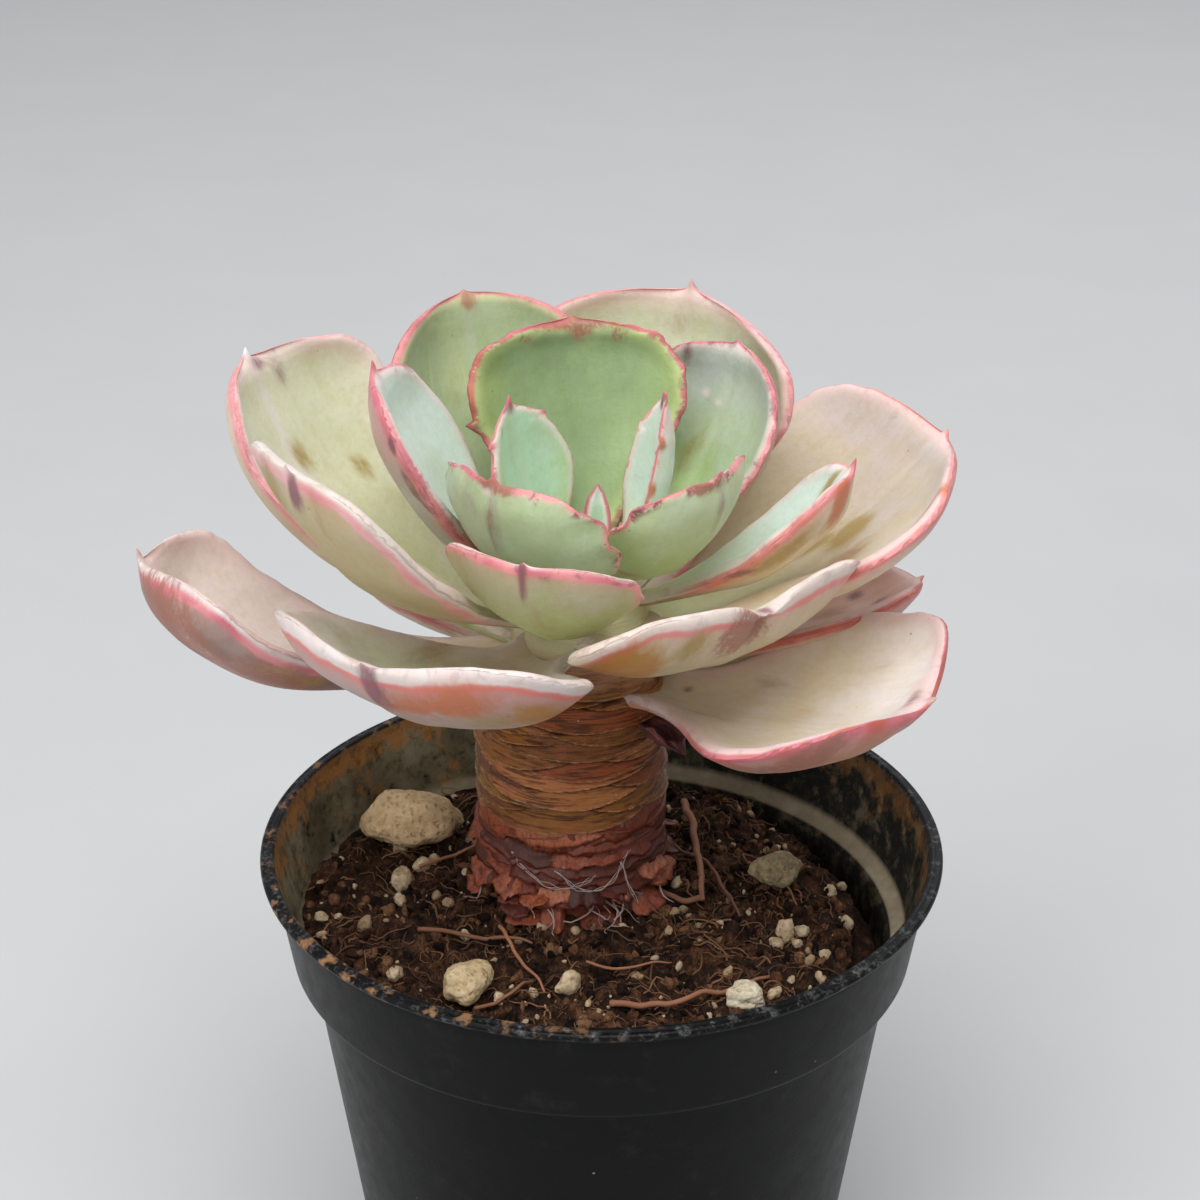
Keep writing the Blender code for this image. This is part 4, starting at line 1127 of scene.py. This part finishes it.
def soil_surface(x, y):
    x, y = np.asarray(x, float), np.asarray(y, float)
    drop = 1.6 * smooth(np.hypot(x, y) / soil_edge(np.arctan2(y, x)), 0.88, 1.0)
    return soil_level(x, y) + soil_relief(x, y) - drop


def soil_material():
    shader = Shader("soil_peat")
    at = shader.position()
    tint = shader.attribute("tint")
    clods = shader.noise(at, 3.5, 6.0, 0.65)
    fine = shader.noise(at, 0.45, 6.0, 0.72)
    matted = shader.noise(shader.scaled(at, (1.0, 0.25, 1.0)), 0.6, 6.0, 0.7, 1.2)
    mixed = clods * 0.35 + (fine * 0.25 + tint * 0.38)
    mixed = mixed + (matted - 0.5) * 0.5
    colour = shader.ramp(mixed, [(0.33, (0.006, 0.003, 0.002)), (0.47, (0.050, 0.022, 0.011)),
                                 (0.61, (0.20, 0.088, 0.042)), (0.82, (0.50, 0.29, 0.15))])
    normal = shader.bump(fine, 0.35)
    normal = shader.bump(matted, 0.4, normal)
    shader.set(base_color=colour, roughness=0.93, normal=normal, specular_ior_level=0.2)
    return shader.material


def make_soil_bed(material):
    steps, rings, wall_rings = 340, 116, 12
    azimuth = np.linspace(0.0, math.tau, steps, endpoint=False)
    place = azimuth * 36.0
    edge = soil_edge(azimuth) + 0.7 * np.sin(9.0 * azimuth) * np.sin(4.0 * azimuth + 1.0)
    edge = edge + 0.5 * grain(xyz(place, 0.0, 0.0), 1.8, 6.0)
    r = np.linspace(0.0, 1.0, rings)[:, None] ** 0.85 * edge
    x, y = r * np.cos(azimuth), r * np.sin(azimuth)
    z = soil_surface(x.ravel(), y.ravel()).reshape(x.shape)
    down = np.linspace(0.0, 1.0, wall_rings + 1)[1:, None]
    foot = wall_inside(SOIL_FOOT) - 0.2
    wall_z = z[-1] + (SOIL_FOOT - z[-1]) * down
    crumble = grain(xyz(place, wall_z, 0.0).reshape(-1, 3), 1.6, 7.0).reshape(wall_z.shape)
    wall_r = edge + (foot - edge) * smooth(down, 0.45, 1.0) + 0.7 * crumble * np.sin(math.pi * down)
    wall = around(wall_r, azimuth, wall_z)
    bottom = [around(share * foot, azimuth, SOIL_FOOT) for share in (0.2, 0.0)]
    points = np.concatenate([xyz(x, y, z), wall, bottom]).reshape(-1, 3)
    faces = grid_faces(rings + wall_rings + 2, steps, wrap=True)
    tint = 0.40 + 0.35 * grain(points, 1.4, 8.0)
    return piece("soil_bed", points, faces, material, ["soil"], {"tint": tint}, weld=0.001)


def unit_ball(level):
    bm = bmesh.new()
    bmesh.ops.create_icosphere(bm, subdivisions=level, radius=1.0)
    points = np.array([v.co[:] for v in bm.verts])
    faces = [[v.index for v in f.verts] for f in bm.faces]
    bm.free()
    return points, faces


def turned_at_random(rng):
    """A random rotation matrix."""
    a, b, c = rng.uniform(0.0, math.tau, 3)
    rx = np.array([[1, 0, 0], [0, math.cos(a), -math.sin(a)], [0, math.sin(a), math.cos(a)]])
    ry = np.array([[math.cos(b), 0, math.sin(b)], [0, 1, 0], [-math.sin(b), 0, math.cos(b)]])
    rz = np.array([[math.cos(c), -math.sin(c), 0], [math.sin(c), math.cos(c), 0], [0, 0, 1]])
    return rx @ ry @ rz


def lump(ball, radii, rough, seed, turn):
    """One irregular lump from a unit ball."""
    lumpy = 1.0 + rough * grain(ball, 0.9, seed) + 0.5 * rough * grain(ball, 0.4, seed + 3.0)
    return (ball * lumpy[:, None] * radii) @ turn.T


def scatter(name, count, level, sizes, flatness, rough, seed, material, power):
    """Many small lumps strewn over the soil as one piece."""
    rng = np.random.default_rng(seed)
    ball, faces = unit_ball(level)
    azimuth = rng.uniform(0.0, math.tau, count)
    r = (soil_edge(azimuth) - 0.6) * np.sqrt(rng.uniform(0.04, 1.0, count))
    x, y = r * np.cos(azimuth), r * np.sin(azimuth)
    z = soil_surface(x, y)
    lumps = []
    for i in range(count):
        size = sizes[0] + (sizes[1] - sizes[0]) * rng.uniform() ** power
        radii = size * np.array([1.0, rng.uniform(flatness, 1.0), rng.uniform(flatness * 0.6, 0.8)])
        body = lump(ball, radii, rough, i * 0.37 + seed, turned_at_random(rng))
        lumps.append((body + (x[i], y[i], z[i] + size * 0.15), faces, rng.uniform()))
    return joined(name, lumps, material)


# Pebbles and pale crumbs with places of their own: x, y, size, tint.
PEBBLES = (
    (-26.9, 4.2, 1.9, 0.9), (-27.9, 11.7, 1.5, 0.8), (-25.8, 15.4, 1.2, 0.7), (-27.0, -1.1, 1.1, 0.8),
    (-37.0, -5.5, 1.0, 0.7), (-17.9, -9.5, 0.9, 0.9), (-26.3, -19.4, 1.3, 0.8), (-4.0, -21.6, 1.9, 0.95),
    (18.0, -23.8, 1.5, 1.0), (21.8, -23.3, 1.1, 0.9), (10.1, 2.6, 1.0, 0.6), (8.7, 7.0, 0.9, 0.7),
    (-31.2, -7.1, 1.5, 0.15), (32.9, -2.3, 1.3, 0.5), (24.1, -8.3, 1.6, 0.85), (26.3, -7.2, 1.2, 0.9),
    (22.9, -10.1, 1.1, 0.75), (25.6, -9.8, 0.9, 0.9), (31.0, 3.9, 1.0, 0.6), (33.0, 7.4, 0.9, 0.6),
    (-24.4, 6.6, 1.3, 0.85), (-22.9, 8.4, 1.0, 0.7), (29.0, -11.8, 0.9, 0.9), (-12.8, -24.8, 1.0, 0.7),
)


def make_pebbles(material):
    rng = np.random.default_rng(17)
    ball, faces = unit_ball(3)
    lumps = []
    for i, (x, y, size, tint) in enumerate(PEBBLES):
        radii = size * np.array([1.0, rng.uniform(0.7, 0.95), rng.uniform(0.6, 0.8)])
        body = lump(ball, radii, 0.35, i * 1.3, turned_at_random(rng))
        lumps.append((body + (x, y, soil_surface([x], [y])[0] + 0.35 * size), faces, tint))
    return joined("soil_pebbles", lumps, material)


def tube(path, radius, sides, taper):
    """Points and faces of a closed thin tube along a path in mm."""
    path = np.asarray(path, float)
    count = len(path)
    ahead = np.gradient(path, axis=0)
    ahead /= np.linalg.norm(ahead, axis=1)[:, None] + 1e-9
    helper = np.where(np.abs(ahead[:, 2:3]) < 0.9, [[0.0, 0.0, 1.0]], [[1.0, 0.0, 0.0]])
    side = np.cross(ahead, helper)
    side /= np.linalg.norm(side, axis=1)[:, None] + 1e-9
    up = np.cross(side, ahead)
    angle = np.linspace(0.0, math.tau, sides, endpoint=False)[None, :, None]
    thin = radius * (1.0 - (1.0 - taper) * np.linspace(0.0, 1.0, count) ** 2)
    ring = side[:, None] * np.cos(angle) + up[:, None] * np.sin(angle)
    points = (path[:, None] + ring * thin[:, None, None]).reshape(-1, 3)
    points = np.concatenate([points, path[:1], path[-1:]])
    faces = grid_faces(count, sides, wrap=True).tolist()
    for i in range(sides):
        j = (i + 1) % sides
        faces.append([j, i, count * sides])
        faces.append([(count - 1) * sides + i, (count - 1) * sides + j, count * sides + 1])
    return points, faces


def curved_path(ends, count):
    """A smooth path through a few points (Catmull-Rom)."""
    ends = np.asarray(ends, float)
    padded = np.concatenate([2 * ends[:1] - ends[1:2], ends, 2 * ends[-1:] - ends[-2:-1]])
    path = []
    for i in range(1, len(padded) - 2):
        a, b, c, d = padded[i - 1:i + 3]
        for k in np.linspace(0.0, 1.0, count, endpoint=False):
            path.append(0.5 * (2 * b + (c - a) * k + (2 * a - 5 * b + 4 * c - d) * k ** 2
                               + (3 * b - a - 3 * c + d) * k ** 3))
    path.append(padded[-2])
    return np.array(path)


def fibre_material(name, dark, light):
    shader = Shader(name)
    at = shader.position()
    shade = (shader.attribute("tint") * 0.7 + shader.noise(at, 1.2, 5.0) * 0.4).clamped()
    shader.set(base_color=shader.mix(shade, dark, light), roughness=0.75,
               normal=shader.bump(shader.noise(at, 0.35, 4.0), 0.08))
    return shader.material


def make_soil_fibres():
    rng = np.random.default_rng(21)
    steps = 8
    hump = np.sin(np.linspace(0.0, math.pi, steps))
    tubes = []
    for _ in range(FIBRE_COUNT):
        azimuth = rng.uniform(0.0, math.tau)
        r = (soil_edge(azimuth) - 2.0) * math.sqrt(rng.uniform(0.1, 1.0))
        heading = rng.uniform(0.0, math.tau)
        length = 1.5 + 7.5 * rng.uniform() ** 2.0
        xs, ys = [r * math.cos(azimuth)], [r * math.sin(azimuth)]
        for _ in range(steps - 1):
            heading += rng.normal(0.0, 0.55)
            xs.append(xs[-1] + math.cos(heading) * length / steps)
            ys.append(ys[-1] + math.sin(heading) * length / steps)
        zs = soil_surface(xs, ys) + 0.15 + rng.uniform(0.0, 0.9) * hump
        radius = 0.04 + 0.13 * rng.uniform() ** 2.0
        tubes.append((*tube(xyz(xs, ys, zs), radius, 4, 0.5), rng.uniform() ** 1.5))
    material = fibre_material("peat_fibre", (0.030, 0.013, 0.007), (0.30, 0.14, 0.062))
    return joined("soil_fibres", tubes, material)


# Roots and twigs that lie on the soil: radius, tint, and points whose third
# number is the height over the soil.
TWIGS = (
    (0.55, 0.60, ((11.9, 23.9, 1.6), (12.8, 14.0, 1.9), (13.4, 3.9, 1.4), (13.5, -2.3, 0.9))),
    (0.42, 0.35, ((13.5, -1.8, 1.0), (10.5, -2.2, 0.8), (6.5, 0.9, 1.1))),
    (0.28, 0.10, ((8.1, 11.7, 2.0), (14.1, 6.5, 1.5), (16.8, 0.0, 0.8), (18.3, -6.0, 0.5))),
    (0.42, 0.65, ((1.0, -25.9, 0.4), (6.8, -25.6, 0.7), (12.4, -24.2, 0.8), (21.5, -18.7, 0.4))),
    (0.26, 1.00, ((-13.3, -9.5, 1.2), (-10.6, -16.2, 1.0), (-7.1, -23.1, 0.5))),
    (0.24, 0.85, ((-24.7, 5.2, 1.0), (-20.0, 8.4, 1.4), (-15.4, 10.3, 1.5))),
    (0.32, 0.40, ((-24.0, -10.0, 0.6), (-19.0, -10.8, 0.8), (-13.5, -12.0, 1.0), (-9.0, -13.5, 0.8))),
    (0.26, 0.50, ((-16.0, -26.5, 0.5), (-13.0, -26.0, 0.8), (-10.0, -23.5, 1.2), (-9.0, -21.0, 0.5))),
    (0.20, 0.30, ((20.0, 8.0, 0.6), (24.0, 4.0, 1.0), (26.0, -2.0, 0.6))),
    (0.20, 0.75, ((-2.0, -17.0, 0.8), (3.0, -19.0, 1.2), (9.0, -17.0, 0.6))),
)


def make_twigs():
    tubes = []
    for radius, tint, ends in TWIGS:
        path = curved_path(ends, 12)
        path[:, 2] += soil_level(path[:, 0], path[:, 1]) + 0.4
        path += 0.35 * wobble(path, 2.5, (3.0, 4.0, 5.0))
        tubes.append((*tube(path, radius, 10, 0.55), tint))
    material = fibre_material("root_bark", (0.05, 0.018, 0.012), (0.42, 0.18, 0.09))
    return joined("soil_twigs", tubes, material)


def stone_material(name, pale, dark, varied=False):
    shader = Shader(name)
    at = shader.position()
    grainy = shader.noise(at, 0.8, 8.0, 0.7)
    large = shader.noise(at, 2.6, 4.0, 0.6)
    reach, _ = shader.cells(at, 0.9)
    hollow = shader.step(reach, 0.42, 0.12)
    shade = (grainy * 0.6 + large * 0.5).clamped()
    colour = shader.mix(shader.step(shade, 0.35, 0.72), dark, pale)
    colour = shader.mix(hollow * 0.5, colour, dark)
    if varied:
        colour = shader.mix(shader.step(shader.attribute("tint"), 0.8, 0.0), colour, dark)
    shader.set(base_color=colour, roughness=0.88,
               normal=shader.bump(hollow, -0.15, shader.bump(grainy, 0.3)))
    return shader.material


# The loose stones: three radii, turn, seed, pale and dark colour.
STONES = {
    "stone_pumice": ((6.6, 4.6, 3.6), 10, 3, (0.80, 0.58, 0.33), (0.50, 0.32, 0.16)),
    "stone_cream": ((3.8, 2.9, 2.2), 70, 5, (0.84, 0.68, 0.42), (0.52, 0.35, 0.17)),
    "stone_olive": ((3.4, 2.8, 2.3), 15, 8, (0.44, 0.35, 0.19), (0.15, 0.11, 0.055)),
    "stone_white": ((2.3, 2.0, 1.6), 0, 11, (0.86, 0.78, 0.60), (0.48, 0.38, 0.24)),
}

# Relief of the stones: depth, size and seed's shift of each layer.
STONE_DENTS = ((0.16, 0.7, 9.0), (0.09, 0.45, 0.0), (0.04, 0.16, 0.0), (0.02, 0.07, 0.0))


def make_stones():
    ball, faces = unit_ball(5)
    x, y, z = ball.T
    for name, (radii, turn, seed, pale, dark) in STONES.items():
        low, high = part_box(name)
        centre = (np.array(low) + np.array(high)) * 0.5 / MM
        dent = 1.0 + 0.10 * np.sin(3.1 * x + seed) * np.sin(2.7 * y + 2.0 * seed)
        dent = dent + 0.06 * np.sin(5.3 * z + seed)
        for depth, size, shift in STONE_DENTS:
            dent = dent + depth * grain(ball, size, seed + shift)
        points = turned(ball * dent[:, None] * np.array(radii), turn) + centre
        piece(name + "_fine", points, faces, stone_material(name + "_surface", pale, dark),
              [name])


# Stem

def crown_radius(z):
    heights, radii = zip(*CROWN)
    return np.interp(z, heights, radii)


def stem_relief(azimuth, z):
    """Relief in mm, strength of lips and of the gaps below them, which are painted dark as shadow, and
    tint of the leaf scars.
    """
    relief = np.full(azimuth.shape, -0.4)
    lip = np.zeros(azimuth.shape)
    gap = np.zeros(azimuth.shape)
    tint = np.full(azimuth.shape, 0.3)
    rng = np.random.default_rng(5)
    for i in range(SCAR_COUNT):
        share = i / (SCAR_COUNT - 1)
        at = SCAR_LOW + (SCAR_HIGH - SCAR_LOW) * share + rng.uniform(-0.5, 0.5)
        middle = math.radians(GOLDEN_ANGLE * i + rng.uniform(-18.0, 18.0))
        span = math.radians(rng.uniform(62.0, 105.0))
        tall = rng.uniform(1.1, 2.2) * (1.15 - 0.4 * share)
        slant = rng.uniform(-2.2, 2.2)
        shade = rng.uniform()
        off = np.angle(np.exp(1j * (azimuth - middle))) / span
        opening = np.where(np.abs(off) < 1.0, np.cos(0.5 * math.pi * np.clip(off, -1.0, 1.0)), 0.0)
        centre = at + slant * off + 0.7 * off ** 2 + 0.12 * np.sin(9.0 * off + i)
        low = centre - 1.3 * tall * opening ** 0.8
        high = centre + 0.7 * tall * opening ** 0.8
        inside = smooth(z, low - SCAR_EDGE, low + SCAR_EDGE) * (opening > 0.0)
        inside = inside * (1.0 - smooth(z, high - SCAR_EDGE, high + SCAR_EDGE))
        k = np.clip((z - low) / np.maximum(high - low, 0.01), 0.0, 1.0)
        face = 0.30 - 0.80 * k ** 0.8
        relief = relief * (1.0 - inside) + face * inside
        tint = tint * (1.0 - inside) + shade * inside
        rim = np.exp(-((z - low - 0.08) / 0.13) ** 2) * opening ** 0.3 * (opening > 0.02)
        rim = np.maximum(rim, 0.5 * np.exp(-((z - high) / 0.11) ** 2) * opening ** 0.5)
        lip = np.maximum(lip * (1.0 - inside * 0.9), rim)
        # The gap: a narrow band below each lip, sunk in the relief and painted near black as its shadow.
        below = np.exp(-((z - low + 0.20) / 0.20) ** 2) * opening ** 0.3 * (opening > 0.02)
        gap = np.maximum(gap * (1.0 - inside), below * (1.0 - inside))
    return relief, lip, gap, tint


def stem_material():
    shader = Shader("stem_bark")
    at = shader.position()
    _, _, z = shader.split(at)
    lip = shader.attribute("lip")
    gap = shader.attribute("gap")
    tint = shader.attribute("tint")
    wrapped = shader.noise(shader.scaled(at, (0.22, 0.22, 2.8)), 1.0, 7.0, 0.68)
    patchy = shader.noise(at, 3.0, 5.0, 0.6)
    fine = shader.noise(shader.scaled(at, (0.4, 0.4, 2.2)), 0.35, 4.0, 0.6)
    band = shader.ramp(tint, [(0.0, (0.11, 0.026, 0.010)), (0.25, (0.34, 0.13, 0.018)),
                              (0.5, (0.28, 0.056, 0.018)), (0.75, (0.25, 0.12, 0.018)),
                              (1.0, (0.48, 0.17, 0.055))])
    dark = shader.step(wrapped, 0.47, 0.60) * 0.8
    band = shader.mix(dark, band, (0.055, 0.014, 0.006))
    band = shader.mix(shader.step(patchy, 0.52, 0.70) * 0.45, band, (0.34, 0.10, 0.05))
    colour = shader.mix(lip * 0.6, band,
                        shader.mix(shader.step(fine, 0.45, 0.62), (0.30, 0.11, 0.04), (0.60, 0.36, 0.20)))
    # Painted shadow: the gaps below the scar lips are painted near black.
    colour = shader.mix(gap * 0.95, colour, (0.018, 0.006, 0.004))

    # Dark red skins towards the foot, pinkish brown fresh scars at the top.
    wander = (patchy - 0.5) * 5.0
    low = shader.step(z + wander, 81.0, 78.0)
    colour = shader.mix(low * 0.85, colour,
                        shader.mix(wrapped, (0.045, 0.008, 0.006), (0.34, 0.07, 0.035)))
    top = shader.step(z + wander, 97.5, 100.5)
    fresh = shader.mix(shader.step(wrapped, 0.4, 0.65), (0.46, 0.25, 0.14), (0.27, 0.10, 0.055))
    colour = shader.mix(top * 0.8, colour, fresh)
    crown = shader.step(z, 101.5, 104.0)
    colour = shader.mix(crown, colour, shader.mix(patchy, (0.62, 0.60, 0.30), (0.72, 0.66, 0.46)))

    speck = shader.dots(at, 2.6, 0.08, 0.03, 0.01, 0.6, 0.64)
    colour = shader.mix(speck * 0.7, colour, (0.72, 0.62, 0.54))
    normal = shader.bump(wrapped, 0.30)
    normal = shader.bump(fine, 0.10, normal)
    rough = 0.26 + wrapped * 0.34
    shader.set(base_color=colour, roughness=rough, normal=normal, specular_ior_level=0.35)
    return shader.material


def make_stem():
    steps = 224
    z_row = np.concatenate([np.linspace(STEM_LOW, 70.0, 16, endpoint=False),
                            np.linspace(70.0, 103.0, 300, endpoint=False),
                            np.linspace(103.0, STEM_HIGH, 24)])
    azimuth, z = np.meshgrid(np.linspace(0.0, math.tau, steps, endpoint=False), z_row)
    relief, lip, gap, tint = stem_relief(azimuth, z)
    scarred = 1.0 - smooth(z, 101.0, 104.0)
    relief = (1.25 * relief + 0.42 * lip - 0.65 * gap) * scarred
    low = 1.0 - smooth(z, 76.0, 80.0)
    place = around(4.8, azimuth, z * 1.6).reshape(-1, 3)
    rough = grain(place, 1.2, 9.0).reshape(z.shape)
    broad = grain(place, 5.0, 10.0).reshape(z.shape)
    relief = relief + 0.16 * rough + 0.3 * broad - low * (0.5 + 0.35 * rough)
    radius = np.where(z > 95.0, crown_radius(z), STEM_RADIUS)
    radius = radius + relief * np.clip((STEM_HIGH - z) / 6.0, 0.0, 1.0)
    axis_x, axis_y = stem_axis(z)
    points = xyz(axis_x + radius * np.cos(azimuth), axis_y + radius * np.sin(azimuth), z)
    tip_x, tip_y = stem_axis(STEM_HIGH)
    top = np.tile([tip_x, tip_y, STEM_HIGH + 0.4], (1, steps, 1))
    foot = np.tile([STEM_AXIS_X, STEM_AXIS_Y, STEM_LOW], (1, steps, 1))
    points = np.concatenate([foot, points, top]).reshape(-1, 3)

    def padded(grid):
        return np.concatenate([grid[:1], grid, grid[-1:]]).ravel()

    values = {"lip": padded(lip * scarred), "tint": padded(tint), "gap": padded(gap * scarred)}
    return piece("stem_scarred", points, grid_faces(len(z_row) + 2, steps, wrap=True),
                 stem_material(), ["stem"], values, weld=0.001)


def flake(rng, azimuth, z_top, width, height, lift, point):
    """One torn papery scale on the stem, as a thin closed shell whose upper
    and side edges go into the bark. point makes its lower edge a tongue."""
    u, s = np.meshgrid(np.linspace(-1.0, 1.0, FLAKE_COLS), np.linspace(0.0, 1.0, FLAKE_ROWS))
    seed = rng.uniform(0.0, 50.0)
    line = xyz(u[0] * 2.0, 0.0, seed)
    torn = 0.85 + 0.30 * grain(line, 0.8, 1.0) + 0.20 * grain(line, 0.25, 2.0)
    torn = torn * (1.0 - point * np.abs(u[0] - rng.uniform(-0.4, 0.4)))
    crease = grain(xyz(u * 2.0, s * 2.0, seed).reshape(-1, 3), 0.8, 3.0).reshape(u.shape)
    z = z_top - s * height * torn[None, :] - 0.15 * height * u ** 2
    a = azimuth + u * width / (2.0 * STEM_RADIUS)
    tuck = 0.5 * (1.0 - smooth(s, 0.0, 0.25)) + 0.9 * smooth(np.abs(u), 0.75, 1.0)
    outer_r = STEM_RADIUS - 0.05 + lift * s ** 1.5 + 0.30 * crease * s + 0.12 * crease - tuck
    axis_x, axis_y = stem_axis(z)
    sheets = [xyz(axis_x + r * np.cos(a), axis_y + r * np.sin(a), z).reshape(-1, 3)
              for r in (outer_r, outer_r - FLAKE_THICKNESS)]
    return np.concatenate(sheets), shell_faces(FLAKE_ROWS, FLAKE_COLS)


def shell_faces(rows, cols):
    """Faces of a thin shell whose second sheet lies behind the first."""
    count = rows * cols
    faces = grid_faces(rows, cols).tolist() + grid_faces(rows, cols, start=count, flip=True).tolist()
    top, bottom = np.arange(cols), np.arange(cols) + (rows - 1) * cols
    left, right = np.arange(rows) * cols, np.arange(rows) * cols + cols - 1
    for border in (top, bottom, left, right):
        for a, b in zip(border[:-1], border[1:]):
            faces.append([int(a), int(b), int(b) + count, int(a) + count])
    return faces


def paper_material():
    shader = Shader("stem_paper")
    at = shader.position()
    tint = shader.attribute("tint")
    streak = shader.noise(shader.scaled(at, (1.0, 1.0, 0.35)), 0.5, 6.0, 0.65)
    patchy = shader.noise(at, 2.2, 5.0, 0.6)
    colour = shader.ramp(tint, [(0.0, (0.06, 0.011, 0.005)), (0.35, (0.19, 0.034, 0.014)),
                                (0.65, (0.38, 0.085, 0.032)), (0.85, (0.54, 0.19, 0.085)),
                                (1.0, (0.66, 0.42, 0.32))])
    colour = shader.mix(shader.step(streak, 0.42, 0.66) * 0.6, colour, (0.06, 0.012, 0.008))
    colour = shader.mix(shader.step(patchy, 0.60, 0.76) * 0.35, colour, (0.62, 0.45, 0.42))
    shader.set(base_color=colour, roughness=0.5, normal=shader.bump(streak, 0.2))
    shader.set(subsurface_weight=0.12, subsurface_scale=0.001)
    return shader.material


# Tiers of papery scales: count, top height at first and last, widths,
# heights, lifts, how pointed they are, tints.
FLAKE_TIERS = (
    (16, (82.5, 80.5), (9.0, 15.0), (4.0, 6.5), (0.2, 0.7), (0.2, 0.7), (0.30, 0.75)),
    (44, (79.0, 71.0), (8.0, 16.0), (2.0, 3.4), (0.3, 1.0), (0.0, 0.4), (0.0, 0.55)),
    (50, (73.0, 66.5), (2.5, 6.0), (1.6, 4.0), (0.8, 2.6), (0.2, 0.8), (0.0, 0.80)),
)
FLAKE_COLS = 17
FLAKE_ROWS = 8
FLAKE_THICKNESS = 0.14


def make_flakes():
    rng = np.random.default_rng(14)
    scales = []
    for count, tops, widths, heights, lifts, tongues, tints in FLAKE_TIERS:
        for i in range(count):
            azimuth = math.radians(GOLDEN_ANGLE * i + rng.uniform(-25.0, 25.0))
            z_top = tops[0] + (tops[1] - tops[0]) * i / (count - 1) + rng.uniform(-0.8, 0.8)
            size = [rng.uniform(*ends) for ends in (widths, heights, lifts, tongues)]
            scales.append((*flake(rng, azimuth, z_top, *size), rng.uniform(*tints)))
    return joined("stem_paper", scales, paper_material())


# Whitish strands across the stem's foot: points as azimuth, distance from the
# stem's face and height.
WEBS = (
    ((232.0, 0.5, 75.5), (250.0, 0.9, 72.6), (268.0, 1.0, 71.8), (286.0, 0.7, 73.4)),
    ((262.0, 0.9, 74.2), (276.0, 1.1, 71.5), (292.0, 1.2, 72.0), (306.0, 0.8, 76.0)),
    ((300.0, 0.9, 74.5), (304.0, 1.6, 71.0), (307.0, 2.2, 68.5)),
)


def make_rootlets():
    """Rootlets and pale webs where the stem meets the soil."""
    rng = np.random.default_rng(33)
    fall = np.linspace(0.0, 1.0, 10)
    tubes = []
    for _ in range(ROOTLET_COUNT):
        azimuth = rng.uniform(0.0, math.tau)
        drift = rng.uniform(-0.5, 0.5)
        z = 71.0 - rng.uniform(0.0, 3.0) - fall * rng.uniform(3.5, 6.5)
        r = STEM_RADIUS - 0.3 + rng.uniform(0.2, 0.9) * np.sin(fall * math.pi)
        r = r + fall ** 2 * rng.uniform(0.5, 4.5)
        a = azimuth + drift * fall + 0.05 * np.sin(7.0 * fall + azimuth)
        x, y = STEM_AXIS_X + r * np.cos(a), STEM_AXIS_Y + r * np.sin(a)
        path = xyz(x, y, np.maximum(z, soil_surface(x, y) + 0.1))
        tubes.append((*tube(path, rng.uniform(0.05, 0.16), 5, 0.5), rng.uniform(0.0, 0.8)))
    for ends in WEBS:
        a, out, z = curved_path(ends, 10).T
        r = STEM_RADIUS + out
        x, y = STEM_AXIS_X + r * np.cos(np.radians(a)), STEM_AXIS_Y + r * np.sin(np.radians(a))
        path = xyz(x, y, z)
        for k in range(3):
            strand = path + 0.5 * wobble(path, 2.0, (k, k + 3.0, k + 6.0))
            tubes.append((*tube(strand, 0.05, 5, 0.6), 0.6))
    material = fibre_material("rootlet", (0.26, 0.10, 0.06), (0.62, 0.56, 0.54))
    return joined("stem_rootlets", tubes, material)


# Stage

LIGHT_AIM = Vector((0.0, 0.0, 0.09))


def make_floor():
    bpy.ops.mesh.primitive_plane_add(size=8.0)
    floor = bpy.context.object
    floor.name = "floor"
    shader = Shader("floor_paper")
    shade = shader.noise(shader.position(), 40.0, 3.0)
    shader.set(base_color=shader.mix(shade, (0.50, 0.50, 0.50), (0.53, 0.53, 0.53)), roughness=0.85)
    floor.data.materials.append(shader.material)


def area_light(name, place, size, power):
    data = bpy.data.lights.new(name, "AREA")
    data.shape = "DISK"
    data.size = size
    data.energy = power
    light = add_object(name, data)
    light.location = place
    light.rotation_euler = (LIGHT_AIM - Vector(place)).to_track_quat("-Z", "Y").to_euler()


def make_stage():
    make_floor()
    area_light("key", (-0.06, -0.34, 1.05), size=0.9, power=9.5)
    area_light("fill", (-0.75, -0.85, 0.5), size=0.8, power=4.5)
    area_light("back", (0.3, 0.7, 0.8), size=0.7, power=2.0)
    world = bpy.data.worlds.new("studio")
    world.use_nodes = True
    background = world.node_tree.nodes["Background"]
    background.inputs["Color"].default_value = (0.93, 0.96, 1.0, 1.0)
    background.inputs["Strength"].default_value = 0.55
    bpy.context.scene.world = world

    data = bpy.data.cameras.new("camera")
    data.lens = CAMERA_LENS
    data.sensor_width = CAMERA_SENSOR
    data.clip_start = 0.01
    data.clip_end = 20.0
    camera = add_object("camera", data)
    camera.location = [c * MM for c in CAMERA_PLACE]
    camera.rotation_euler = (math.radians(90.0 - CAMERA_DOWN), 0.0, 0.0)
    bpy.context.scene.camera = camera
    bpy.context.scene.view_settings.view_transform = "Standard"


make_stage()
make_pot()
peat = soil_material()
make_soil_bed(peat)
scatter("soil_crumbs", count=1850, level=2, sizes=(0.2, 1.15), flatness=0.4, rough=0.6, seed=2,
        material=peat, power=2.0)
pale_stone = stone_material("grit", (0.80, 0.64, 0.42), (0.36, 0.24, 0.13), varied=True)
scatter("soil_grit", count=260, level=2, sizes=(0.2, 0.9), flatness=0.7, rough=0.35, seed=4,
        material=pale_stone, power=2.2)
make_pebbles(pale_stone)
make_soil_fibres()
make_twigs()
make_stones()
make_stem()
make_flakes()
make_rootlets()
make_leaves()
